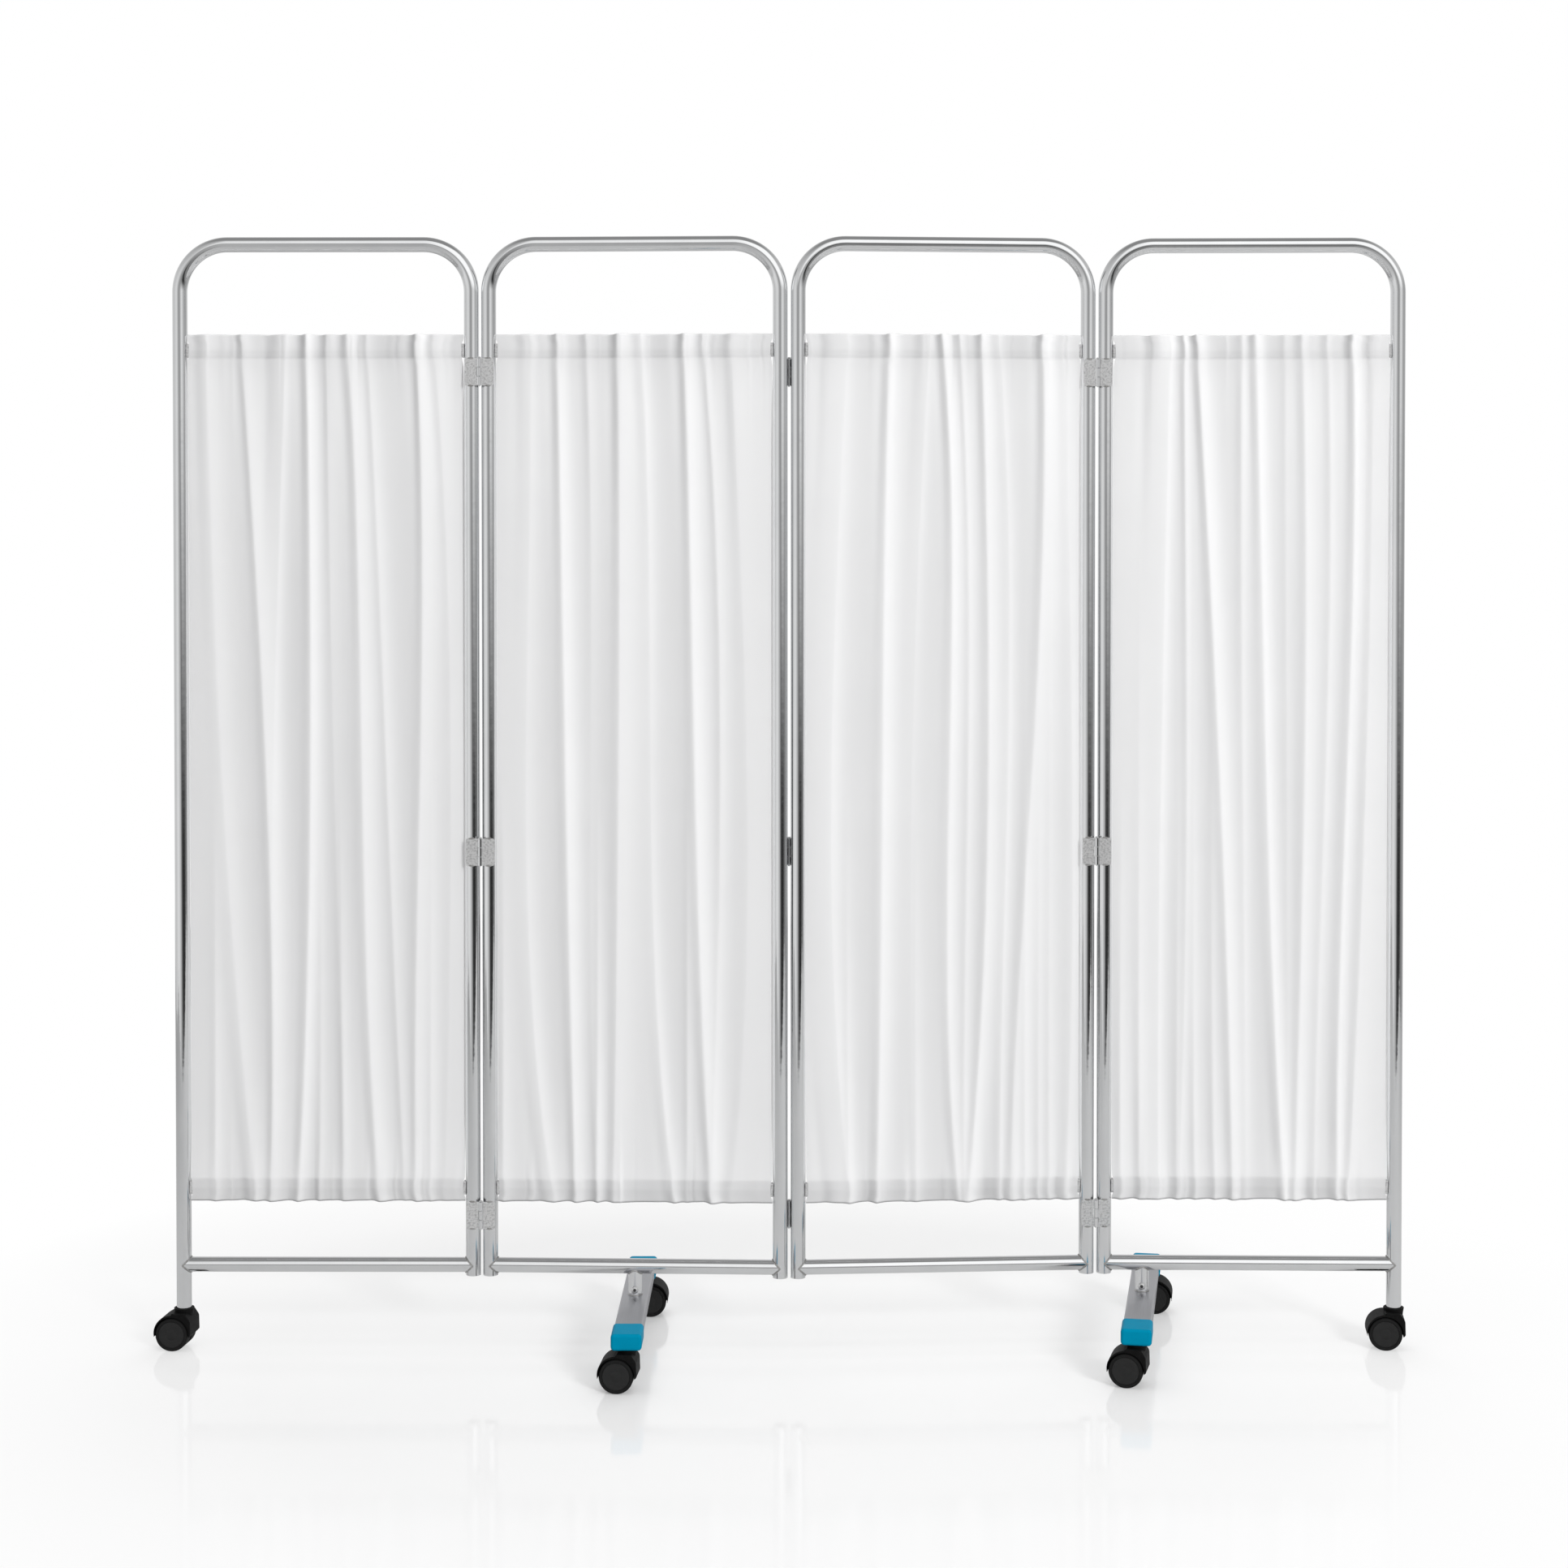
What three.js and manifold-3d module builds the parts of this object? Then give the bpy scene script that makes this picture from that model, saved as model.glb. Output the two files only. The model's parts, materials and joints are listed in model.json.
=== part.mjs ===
// Ward privacy screen on wheels: four tube frames hinged side by side, a gathered curtain in each,
// two cross feet under panels 2 and 4, and six twin-wheel casters.
// Millimetres, +Z up. The front of the screen faces -Y, and panels 1 to 4 run from left to right.
import * as THREE from 'three';
import { mergeVertices } from 'three/addons/utils/BufferGeometryUtils.js';
import ManifoldModule from 'manifold-3d';

const wasm = await ManifoldModule();
wasm.setup();

// Frame tubes
const screenHeight = 1645;
const tubeDiameter = 22;
const tubeWall = 1.2;
const openEndDepth = 30;
const legSpacing = 430;
const bendRadius = 70;
const railRise = 41.9;
const shortLegTail = 15;
const tubeSides = 16;
const bendSteps = 6;

// Fits
const seatGap = 0.3;
const cutOverrun = 2;
const weldBite = 0.8;

// Hinges: flat leaves welded on the tubes, three knuckles, one loose pin
const legGap = 3;
const leafHeight = 40;
const leafReach = 21;
const leafThickness = 2;
const leafFaceGap = 0.8;
const knuckleRadius = 3.2;
const knuckleGap = 0.4;
const knuckleSides = 8;
const pinRadius = 1.5;
const pinBoreRadius = 1.85;
const pinBoreSides = 6;
const pinHeadRadius = 2.8;
const pinHeadHeight = 1.8;
const pinTail = 1.4;
const pinSides = 8;
const topHingeDrop = 199;
const bottomHingeRise = 76;
const middleHingeShare = 0.432;

// How far each hinge line stands folded, and how panel 2 faces
const headingDegrees = -2.1;
const foldDegrees = { '12': 1.8, '23': 6.0, '34': 5.2 };

// Curtains on their rods
const curtainTopDrop = 142;
const curtainBottomRise = 93;
const hemHeight = 34;
const topRodDrop = 25;
const bottomRodRise = 22;
const rodDiameter = 6;
const rodEndGap = 0.5;
const rodSides = 10;
const clothThickness = 1.6;
const pocketDepth = 13;
const pocketGap = 0.45;
const hemFoldDepth = 1.4;
const pleatDepth = 10;
const pleatStart = 80;
const pleats = 8;
const columnsPerPleat = 4;
const pleatWanderShare = 0.022;
const pleatLeanShare = 0.012;
const pleatFadeShare = 0.25;

// Rod hooks on the legs
const hookThickness = 3;
const hookWidth = 12;
const hookHeight = 20;
const hookSlotGap = 0.3;
const hookRootSegments = 4;
const curtainHookGap = 0.5;

// Cross feet
const footBarWidth = 40;
const footBarHeight = 20;
const footBarWall = 2;
const footBarCorner = 3;
const footBarLength = 430;
const stemInset = 20;
const capWall = 1.5;
const capSleeve = 53;
const capEndWall = 3;
const capEdge = 1;
const cornerSegments = 2;
const postDiameter = 20;
const boltHeadRadius = 5.5;
const boltHeadHeight = 3.5;
const boltShankRadius = 2.5;
const boltShankLength = 8;
const boltRise = 9;
const boltSides = 8;
const endFootInset = 57;
const footSkewDegrees = { '2': 2, '4': -8.7 };

// Twin-wheel casters
const wheelRadius = 25;
const wheelSides = 16;
const wheelEdge = 3;
const wheelDish = 1.2;
const axleRadius = 3;
const axleSides = 8;
const axleCover = 3.5;
const webWidth = 7;
const wheelSideGap = 0.6;
const wheelTopGap = 1.2;
const hoodWall = 2.5;
const hoodWidth = 46;
const hoodEdge = 1.5;
const hoodFrontDegrees = 160;
const hoodArcSteps = 6;
const trail = 13;
const backWallReach = 16;
const backWallFoot = 24;
const backWallChamfer = 6;
const axleBossRadius = 8;
const collarRadius = 15;
const collarTop = 61;
const collarTaper = 1.5;
const dishDepth = 2.5;
const dishGap = 0.7;
const stemRadius = 4;
const stemLength = 20;
const roundSides = 16;

// Plan angle of each caster's trailing wheel, turned from the left of its panel
const swivelDegrees = {
  end_left: -5,
  end_right: -7,
  foot2_front: -4,
  foot2_rear: 180,
  foot4_front: -5,
  foot4_rear: 180,
};

// Sizes that follow from the ones above
const tubeRadius = tubeDiameter / 2;
const halfPanel = legSpacing / 2;
const tubeTop = screenHeight - tubeRadius;
const bendStart = tubeTop - bendRadius;
const hingeReach = halfPanel + tubeRadius + legGap / 2;
const leafFace = tubeRadius - weldBite + leafThickness;
const hingeOffset = leafFace + leafFaceGap / 2;
const stemFoot = collarTop - dishDepth;
const longLegEnd = stemFoot + seatGap;
const capUnderside = collarTop + seatGap;
const footBarUnderside = capUnderside + capWall + seatGap;
const footBarTop = footBarUnderside + footBarHeight;
const footBarMiddle = footBarUnderside + footBarHeight / 2;
const casterSpacing = footBarLength - 2 * stemInset;
const railHeight = footBarTop + railRise;
const shortLegEnd = railHeight - shortLegTail;
const topHingeHeight = screenHeight - topHingeDrop;
const bottomHingeHeight = railHeight + bottomHingeRise;
const hingeSpan = topHingeHeight - bottomHingeHeight;
const hingeHeights = {
  top: topHingeHeight,
  middle: bottomHingeHeight + hingeSpan * middleHingeShare,
  bottom: bottomHingeHeight,
};
const curtainTop = screenHeight - curtainTopDrop;
const curtainBottom = railHeight + curtainBottomRise;
const rodHeights = { top: curtainTop - topRodDrop, bottom: curtainBottom + bottomRodRise };
const curtainWidth = 2 * (halfPanel - tubeRadius - hookThickness - curtainHookGap);
const wheelCentreHeight = wheelRadius * Math.cos(Math.PI / wheelSides);

// Finishes
const chrome = new THREE.MeshStandardMaterial({ color: 0xc9ccd0, roughness: 0.12, metalness: 1 });
const zinc = new THREE.MeshStandardMaterial({ color: 0xa9abad, roughness: 0.4, metalness: 1 });
const cloth = new THREE.MeshStandardMaterial({ color: 0xeeeeee, roughness: 0.9, metalness: 0 });
const satin = new THREE.MeshStandardMaterial({ color: 0x97979e, roughness: 0.45, metalness: 1 });
const blue = new THREE.MeshStandardMaterial({ color: 0x0087b9, roughness: 0.45, metalness: 0 });
const black = new THREE.MeshStandardMaterial({ color: 0x1d1e20, roughness: 0.5, metalness: 0 });
const tyre = new THREE.MeshStandardMaterial({ color: 0x2b2c2e, roughness: 0.6, metalness: 0 });

const radians = THREE.MathUtils.degToRad;

// Solids: booleans work on closed meshes whose shared vertices are one
function toSolid(geometry) {
  const bare = geometry.clone();
  bare.deleteAttribute('uv');
  bare.deleteAttribute('normal');
  const merged = mergeVertices(bare);
  return new wasm.Manifold(new wasm.Mesh({
    numProp: 3,
    vertProperties: new Float32Array(merged.attributes.position.array),
    triVerts: new Uint32Array(merged.index.array),
  }));
}

function toGeometry(solid) {
  const mesh = solid.getMesh();
  const geometry = new THREE.BufferGeometry();
  geometry.setAttribute('position', new THREE.BufferAttribute(new Float32Array(mesh.vertProperties), 3));
  geometry.setIndex(new THREE.BufferAttribute(new Uint32Array(mesh.triVerts), 1));
  geometry.computeVertexNormals();
  return geometry;
}

function joined(solids) {
  return solids.reduce((whole, next) => whole.add(next));
}

function without(solid, cutters) {
  return cutters.reduce((rest, cutter) => rest.subtract(cutter), solid);
}

// Plain shapes as solids, each centred on the place given
function block(size, at) {
  return toSolid(new THREE.BoxGeometry(...size).translate(...at));
}

function roundBar(axis, radius, length, sides, at, turn = 0) {
  const geometry = new THREE.CylinderGeometry(radius, radius, length, sides);
  if (axis === 'z') geometry.rotateX(Math.PI / 2);
  if (axis === 'x') geometry.rotateZ(Math.PI / 2);
  return toSolid(geometry.rotateZ(turn).translate(...at));
}

function ringPoints(radius, sides) {
  return Array.from({ length: sides }, (_, i) => {
    const turn = i / sides * 2 * Math.PI;
    return new THREE.Vector2(radius * Math.cos(turn), radius * Math.sin(turn));
  });
}

function roundedRectangle(width, height, corner) {
  const points = [];
  const inner = [width / 2 - corner, height / 2 - corner];
  const signs = [[1, 1], [-1, 1], [-1, -1], [1, -1]];
  signs.forEach(([sx, sy], quarter) => {
    for (let i = 0; i <= cornerSegments; i += 1) {
      const turn = (quarter + i / cornerSegments) * Math.PI / 2;
      const x = sx * inner[0] + corner * Math.cos(turn);
      const y = sy * inner[1] + corner * Math.sin(turn);
      points.push(new THREE.Vector2(x, y));
    }
  });
  return points;
}

// A profile drawn across X and Z, extruded along Y and centred on it
function acrossY(shape, length, options = {}) {
  const geometry = new THREE.ExtrudeGeometry(shape, { depth: length, bevelEnabled: false, ...options });
  return geometry.rotateX(Math.PI / 2).translate(0, length / 2, 0);
}

// A path that gets exactly one ring of the extrusion at each of its points
class StationPath extends THREE.Curve {
  constructor(points) {
    super();
    this.points = points;
  }

  getPoint(t, target = new THREE.Vector3()) {
    const place = t * (this.points.length - 1);
    const i = Math.min(Math.floor(place), this.points.length - 2);
    return target.lerpVectors(this.points[i], this.points[i + 1], place - i);
  }

  getPointAt(u, target) {
    return this.getPoint(u, target);
  }

  getTangentAt(u, target) {
    return this.getTangent(u, target);
  }
}

// Frame: one tube bent into an upside-down U, with its hooks and hinge leaves welded on
function bentTube(leftEnd, rightEnd) {
  const points = [new THREE.Vector3(-halfPanel, 0, leftEnd)];
  for (const side of [-1, 1]) {
    for (let i = 0; i <= bendSteps; i += 1) {
      const turn = (side < 0 ? Math.PI : Math.PI / 2) - i / bendSteps * Math.PI / 2;
      const x = side * (halfPanel - bendRadius) + bendRadius * Math.cos(turn);
      points.push(new THREE.Vector3(x, 0, bendStart + bendRadius * Math.sin(turn)));
    }
  }
  points.push(new THREE.Vector3(halfPanel, 0, rightEnd));
  const section = new THREE.Shape(ringPoints(tubeRadius, tubeSides));
  return toSolid(new THREE.ExtrudeGeometry(section, {
    steps: points.length - 1,
    extrudePath: new StationPath(points),
    bevelEnabled: false,
  }));
}

// An open-topped hook plate on the inner side of a leg, which the end of a curtain rod drops into
function rodHook(side, height) {
  const halfWidth = hookWidth / 2;
  const halfHeight = hookHeight / 2;
  const slot = rodDiameter / 2 + hookSlotGap;
  const outline = [
    new THREE.Vector2(-slot, halfHeight),
    new THREE.Vector2(-halfWidth, halfHeight),
    new THREE.Vector2(-halfWidth, -halfHeight),
    new THREE.Vector2(halfWidth, -halfHeight),
    new THREE.Vector2(halfWidth, halfHeight),
    new THREE.Vector2(slot, halfHeight),
  ];
  for (let i = 0; i <= hookRootSegments; i += 1) {
    const turn = -i / hookRootSegments * Math.PI;
    outline.push(new THREE.Vector2(slot * Math.cos(turn), slot * Math.sin(turn)));
  }
  const plate = new THREE.ExtrudeGeometry(new THREE.Shape(outline), {
    depth: hookThickness + weldBite,
    bevelEnabled: false,
  });
  plate.rotateX(Math.PI / 2).rotateZ(Math.PI / 2);
  const innerFace = halfPanel - tubeRadius - hookThickness;
  const start = side > 0 ? innerFace : -innerFace - hookThickness - weldBite;
  return toSolid(plate.translate(start, 0, height));
}

// Knuckles share the leaf height: the left panel's leaf has the outer two, the right panel's the middle
const knuckles = 3;
const knucklePitch = (leafHeight + knuckleGap) / knuckles;
const knuckleHeight = knucklePitch - knuckleGap;
const knuckleLevels = { left: [-knucklePitch, knucklePitch], right: [0] };

// A leaf on one leg. It reaches from the hinge line over its own tube, on the face of the panel given.
function hingeLeaf(hand, face, height) {
  const inward = hand === 'left' ? -1 : 1;
  const axisX = -inward * hingeReach;
  const plateStart = knuckleRadius + knuckleGap;
  const plateY = face * (leafFace - leafThickness / 2);
  const plateLength = leafReach - plateStart;
  const plateX = axisX + inward * (plateStart + plateLength / 2);
  const parts = [block([plateLength, leafThickness, leafHeight], [plateX, plateY, height])];
  const axisY = face * hingeOffset;
  for (const level of knuckleLevels[hand]) {
    const at = height + level;
    parts.push(roundBar('z', knuckleRadius, knuckleHeight, knuckleSides, [axisX, axisY, at]));
    const tabX = axisX + inward * (plateStart + weldBite) / 2;
    parts.push(block([plateStart + weldBite, leafThickness, knuckleHeight], [tabX, plateY, at]));
  }
  const boreLength = leafHeight + 2 * cutOverrun;
  const bore = roundBar('z', pinBoreRadius, boreLength, pinBoreSides, [axisX, axisY, height]);
  return without(joined(parts), [bore]);
}

// The short legs end open. The bore is cut as deep as it shows.
function openEnd(side) {
  const length = openEndDepth + cutOverrun;
  const middle = shortLegEnd + (openEndDepth - cutOverrun) / 2;
  return roundBar('z', tubeRadius - tubeWall, length, tubeSides, [side * halfPanel, 0, middle]);
}

function stemSocket(side) {
  const depth = stemLength + seatGap;
  const middle = longLegEnd + (depth - cutOverrun) / 2;
  return roundBar('z', stemRadius + seatGap, depth + cutOverrun, roundSides, [side * halfPanel, 0, middle]);
}

// Each panel's hinge leaves by side: the face of the panel that they lie on
const panelPlans = [
  { number: 1, longLeg: -1, leaves: [['left', -1]] },
  { number: 2, longLeg: 0, leaves: [['right', -1], ['left', 1]] },
  { number: 3, longLeg: 0, leaves: [['right', 1], ['left', -1]] },
  { number: 4, longLeg: 1, leaves: [['right', -1]] },
];

function frameSolid(plan) {
  const leftEnd = plan.longLeg < 0 ? longLegEnd : shortLegEnd;
  const rightEnd = plan.longLeg > 0 ? longLegEnd : shortLegEnd;
  const parts = [bentTube(leftEnd, rightEnd)];
  for (const side of [-1, 1]) {
    for (const height of Object.values(rodHeights)) parts.push(rodHook(side, height));
  }
  for (const [hand, face] of plan.leaves) {
    for (const height of Object.values(hingeHeights)) parts.push(hingeLeaf(hand, face, height));
  }
  const bores = [-1, 1].map((side) => (side === plan.longLeg ? stemSocket(side) : openEnd(side)));
  return without(joined(parts), bores);
}

// Bottom rail: its ends are cut to the round of the legs
function railSolid() {
  const rail = roundBar('x', tubeRadius, legSpacing, tubeSides, [0, 0, railHeight]);
  const cope = tubeRadius + seatGap;
  const copeLength = tubeDiameter + 2 * cutOverrun;
  return without(rail, [-1, 1].map((side) => (
    roundBar('z', cope, copeLength, tubeSides, [side * halfPanel, 0, railHeight])
  )));
}

function rodSolid(height) {
  const length = legSpacing - tubeDiameter - 2 * rodEndGap;
  return roundBar('x', rodDiameter / 2, length, rodSides, [0, 0, height]);
}

// Curtain: a pleated sheet with a pocket along its top and bottom hems, each with a rod through it
function curtainLevels() {
  const thin = clothThickness / 2;
  const pocket = pocketDepth / 2;
  const middle = (curtainTop + curtainBottom) / 2;
  return [
    { z: curtainBottom, half: thin, fold: hemFoldDepth },
    { z: rodHeights.bottom, half: pocket, fold: hemFoldDepth },
    { z: curtainBottom + hemHeight, half: thin, fold: hemFoldDepth + thin },
    { z: curtainBottom + hemHeight + pleatStart, half: thin, fold: pleatDepth },
    { z: middle, half: thin, fold: pleatDepth },
    { z: curtainTop - hemHeight - pleatStart, half: thin, fold: pleatDepth },
    { z: curtainTop - hemHeight, half: thin, fold: hemFoldDepth + thin },
    { z: rodHeights.top, half: pocket, fold: hemFoldDepth },
    { z: curtainTop, half: thin, fold: hemFoldDepth },
  ];
}

// Where a column of the cloth stands: pleats of uneven width and depth that lean a little on their way
// down. Slow waves across the panel, other ones on each panel, make them uneven.
function pleatPoint(column, columns, level, number) {
  const share = column / columns;
  const halfTurns = (count) => Math.sin(count * Math.PI * share);
  const wander = Math.cos(2 * number) * halfTurns(3) + Math.sin(3 * number) * halfTurns(5);
  const heightShare = (level.z - curtainBottom) / (curtainTop - curtainBottom);
  const lean = (heightShare - 1 / 2) * Math.sin(4 * Math.PI * share + number) * halfTurns(1);
  const across = share + pleatWanderShare * wander + pleatLeanShare * lean;
  const fade = 1 - pleatFadeShare * (1 + Math.sin(7 * share + 2 * number)) / 2;
  const x = (across - 1 / 2) * curtainWidth;
  const y = level.fold * fade * Math.cos(2 * Math.PI * pleats * share);
  return { x, y };
}

function curtainSolid(number) {
  const levels = curtainLevels();
  const columns = pleats * columnsPerPleat;
  const positions = [];
  for (const face of [-1, 1]) {
    for (const level of levels) {
      for (let column = 0; column <= columns; column += 1) {
        const { x, y } = pleatPoint(column, columns, level, number);
        positions.push(x, y + face * level.half, level.z);
      }
    }
  }
  const width = columns + 1;
  const back = width * levels.length;
  const triangles = [];
  const quad = (a, b, c, d) => triangles.push(a, b, c, a, c, d);
  for (let row = 0; row < levels.length - 1; row += 1) {
    for (let column = 0; column < columns; column += 1) {
      const a = row * width + column;
      quad(a, a + 1, a + 1 + width, a + width);
      quad(back + a, back + a + width, back + a + 1 + width, back + a + 1);
    }
    const left = row * width;
    const right = left + columns;
    quad(left, left + width, back + left + width, back + left);
    quad(right, back + right, back + right + width, right + width);
  }
  const lastRow = (levels.length - 1) * width;
  for (let column = 0; column < columns; column += 1) {
    quad(column, back + column, back + column + 1, column + 1);
    const a = lastRow + column;
    quad(a, a + 1, back + a + 1, back + a);
  }
  const sheet = new THREE.BufferGeometry();
  sheet.setAttribute('position', new THREE.Float32BufferAttribute(positions, 3));
  sheet.setIndex(triangles);
  const tunnel = rodDiameter / 2 + pocketGap;
  const tunnelLength = curtainWidth + 2 * cutOverrun;
  return without(toSolid(sheet), Object.values(rodHeights).map((height) => (
    roundBar('x', tunnel, tunnelLength, rodSides, [0, 0, height])
  )));
}

// Hinge pin: a headed pin that stands in the three knuckles of one hinge
function pinGeometry() {
  const top = leafHeight / 2 + seatGap;
  const bottom = -leafHeight / 2 - pinTail;
  return new THREE.LatheGeometry([
    new THREE.Vector2(0, bottom),
    new THREE.Vector2(pinRadius, bottom),
    new THREE.Vector2(pinRadius, top),
    new THREE.Vector2(pinHeadRadius, top),
    new THREE.Vector2(pinHeadRadius, top + pinHeadHeight / 2),
    new THREE.Vector2(0, top + pinHeadHeight),
  ], pinSides).rotateX(Math.PI / 2);
}

// Cross foot: a rectangular tube from front to back, end caps, a post up to the rail, and its bolt
function footBarSolid() {
  const outer = new THREE.Shape(roundedRectangle(footBarWidth, footBarHeight, footBarCorner));
  const innerWidth = footBarWidth - 2 * footBarWall;
  const innerHeight = footBarHeight - 2 * footBarWall;
  outer.holes.push(new THREE.Path(roundedRectangle(innerWidth, innerHeight, footBarCorner - footBarWall)));
  const bar = toSolid(acrossY(outer, footBarLength).translate(0, 0, footBarMiddle));
  const depth = footBarWall + cutOverrun;
  return without(bar, [-1, 1].map((end) => {
    const at = [0, end * casterSpacing / 2, footBarUnderside + (footBarWall - cutOverrun) / 2 + seatGap];
    return roundBar('z', stemRadius + seatGap, depth, roundSides, at);
  }));
}

function footCapSolid(end) {
  const width = footBarWidth + 2 * (capWall + seatGap);
  const height = footBarHeight + 2 * (capWall + seatGap);
  const length = capSleeve + capEndWall;
  const corner = footBarCorner + capWall - capEdge;
  const grown = roundedRectangle(width - 2 * capEdge, height - 2 * capEdge, corner);
  const outer = acrossY(new THREE.Shape(grown), length - 2 * capEdge, {
    bevelEnabled: true,
    bevelSize: capEdge,
    bevelThickness: capEdge,
    bevelSegments: 1,
  });
  const middle = footBarLength / 2 + seatGap + capEndWall - length / 2;
  outer.translate(0, end * middle, footBarMiddle);
  const fit = new THREE.Shape(roundedRectangle(
    footBarWidth + 2 * seatGap,
    footBarHeight + 2 * seatGap,
    footBarCorner + seatGap,
  ));
  const pocketLength = capSleeve + cutOverrun;
  const pocketMiddle = footBarLength / 2 + seatGap - pocketLength / 2;
  const pocket = acrossY(fit, pocketLength).translate(0, end * pocketMiddle, footBarMiddle);
  const holeAt = [0, end * casterSpacing / 2, capUnderside + (capWall - cutOverrun) / 2 + seatGap];
  const hole = roundBar('z', stemRadius + seatGap, capWall + cutOverrun, roundSides, holeAt);
  return without(toSolid(outer), [toSolid(pocket), hole]);
}

// The foot may stand skewed under its panel, so the saddle on top of the post turns back to the rail
function postSolid(skew) {
  const foot = footBarTop + seatGap;
  const length = railHeight - foot;
  const post = roundBar('z', postDiameter / 2, length, roundSides, [0, 0, foot + length / 2]);
  const saddleLength = postDiameter + 2 * cutOverrun;
  const saddle = roundBar('x', tubeRadius + seatGap, saddleLength, tubeSides, [0, 0, railHeight], -skew);
  const boreLength = boltShankLength + seatGap + cutOverrun;
  const boreY = -postDiameter / 2 + (boltShankLength + seatGap - cutOverrun) / 2;
  const boreAt = [0, boreY, footBarTop + boltRise];
  const bore = roundBar('y', boltShankRadius + seatGap, boreLength, boltSides, boreAt);
  return without(post, [saddle, bore]);
}

function boltGeometry() {
  const headFoot = postDiameter / 2 + seatGap;
  return new THREE.LatheGeometry([
    new THREE.Vector2(0, headFoot - boltShankLength),
    new THREE.Vector2(boltShankRadius, headFoot - boltShankLength),
    new THREE.Vector2(boltShankRadius, headFoot),
    new THREE.Vector2(boltHeadRadius, headFoot),
    new THREE.Vector2(boltHeadRadius, headFoot + boltHeadHeight / 2),
    new THREE.Vector2(boltHeadRadius / 2, headFoot + boltHeadHeight),
    new THREE.Vector2(0, headFoot + boltHeadHeight),
  ], boltSides).rotateX(Math.PI).translate(0, 0, footBarTop + boltRise);
}

// Caster housing: a hood over both wheels, a web between them with the axle, and the collar and stem.
// It stands on its swivel axis, with the wheels trailing towards -X.
function hoodOutline() {
  const hoodRadius = wheelRadius + wheelTopGap + hoodWall;
  const inset = hoodEdge;
  const points = [];
  const neckX = -collarRadius + collarTaper + inset;
  const start = radians(hoodFrontDegrees);
  const end = Math.acos((neckX + trail) / (hoodRadius - inset));
  for (let i = 0; i <= hoodArcSteps; i += 1) {
    const turn = start + (end - start) * i / hoodArcSteps;
    const x = -trail + (hoodRadius - inset) * Math.cos(turn);
    points.push(new THREE.Vector2(x, wheelCentreHeight + (hoodRadius - inset) * Math.sin(turn)));
  }
  const shoulder = collarTop - dishDepth * 2 - inset;
  const backWall = backWallReach - inset;
  points.push(new THREE.Vector2(neckX, shoulder));
  points.push(new THREE.Vector2(-neckX, shoulder));
  points.push(new THREE.Vector2(backWall, shoulder - backWallChamfer));
  points.push(new THREE.Vector2(backWall, backWallFoot + inset));
  points.push(new THREE.Vector2(backWall - backWallChamfer, backWallFoot - backWallChamfer + inset));
  points.push(new THREE.Vector2(-trail, wheelCentreHeight - axleBossRadius / 2));
  return points.reverse();
}

function housingSolid() {
  const hood = acrossY(new THREE.Shape(hoodOutline()), hoodWidth - 2 * hoodEdge, {
    bevelEnabled: true,
    bevelSize: hoodEdge,
    bevelThickness: hoodEdge,
    bevelSegments: 1,
  });
  const wellWidth = (hoodWidth - webWidth) / 2 + cutOverrun;
  const wells = [-1, 1].map((side) => roundBar(
    'y',
    wheelRadius + wheelTopGap,
    wellWidth,
    wheelSides,
    [-trail, side * (webWidth + wellWidth) / 2, wheelCentreHeight],
  ));
  const shell = without(toSolid(hood), wells);
  const boss = roundBar('y', axleBossRadius, webWidth, axleSides, [-trail, 0, wheelCentreHeight]);
  const axleLength = hoodWidth - 2 * (axleCover + seatGap) - 2 * wheelSideGap;
  const axle = roundBar('y', axleRadius, axleLength, axleSides, [-trail, 0, wheelCentreHeight]);
  const collarFoot = stemFoot - collarRadius / 2;
  const collar = toSolid(new THREE.LatheGeometry([
    new THREE.Vector2(0, collarFoot),
    new THREE.Vector2(collarRadius - collarTaper, collarFoot),
    new THREE.Vector2(collarRadius, collarTop),
    new THREE.Vector2(tubeRadius + dishGap, collarTop),
    new THREE.Vector2(tubeRadius + dishGap, stemFoot),
    new THREE.Vector2(stemRadius, stemFoot),
    new THREE.Vector2(stemRadius, stemFoot + stemLength),
    new THREE.Vector2(0, stemFoot + stemLength),
  ], roundSides).rotateX(Math.PI / 2));
  return joined([shell, boss, axle, collar]);
}

// Wheel: solid disc with rounded tread edges, a shallow dished face and a blind bore for the axle
const wheelWidth = (hoodWidth - webWidth) / 2 - 2 * wheelSideGap;

function wheelGeometry(side) {
  const outer = wheelWidth;
  const bore = axleRadius + seatGap;
  const geometry = new THREE.LatheGeometry([
    new THREE.Vector2(0, outer - axleCover),
    new THREE.Vector2(bore, outer - axleCover),
    new THREE.Vector2(bore, 0),
    new THREE.Vector2(wheelRadius, 0),
    new THREE.Vector2(wheelRadius, outer - wheelEdge),
    new THREE.Vector2(wheelRadius - wheelEdge, outer),
    new THREE.Vector2(0, outer - wheelDish),
  ], wheelSides, Math.PI / wheelSides);
  return side > 0 ? geometry : geometry.rotateZ(Math.PI);
}

// Assembly: every joint has its own group, so that each piece stands on what carries it
const part = new THREE.Group();
const screen = new THREE.Group();
part.add(screen);

function add(parent, name, shape, material) {
  const geometry = shape.isBufferGeometry ? shape : toGeometry(shape);
  const mesh = new THREE.Mesh(geometry, material);
  mesh.name = name;
  parent.add(mesh);
  return mesh;
}

function groupAt(parent, name, x, y, z, turn = 0) {
  const group = new THREE.Group();
  group.name = name;
  group.position.set(x, y, z);
  group.rotation.z = turn;
  parent.add(group);
  return group;
}

const housing = toGeometry(housingSolid());

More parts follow.
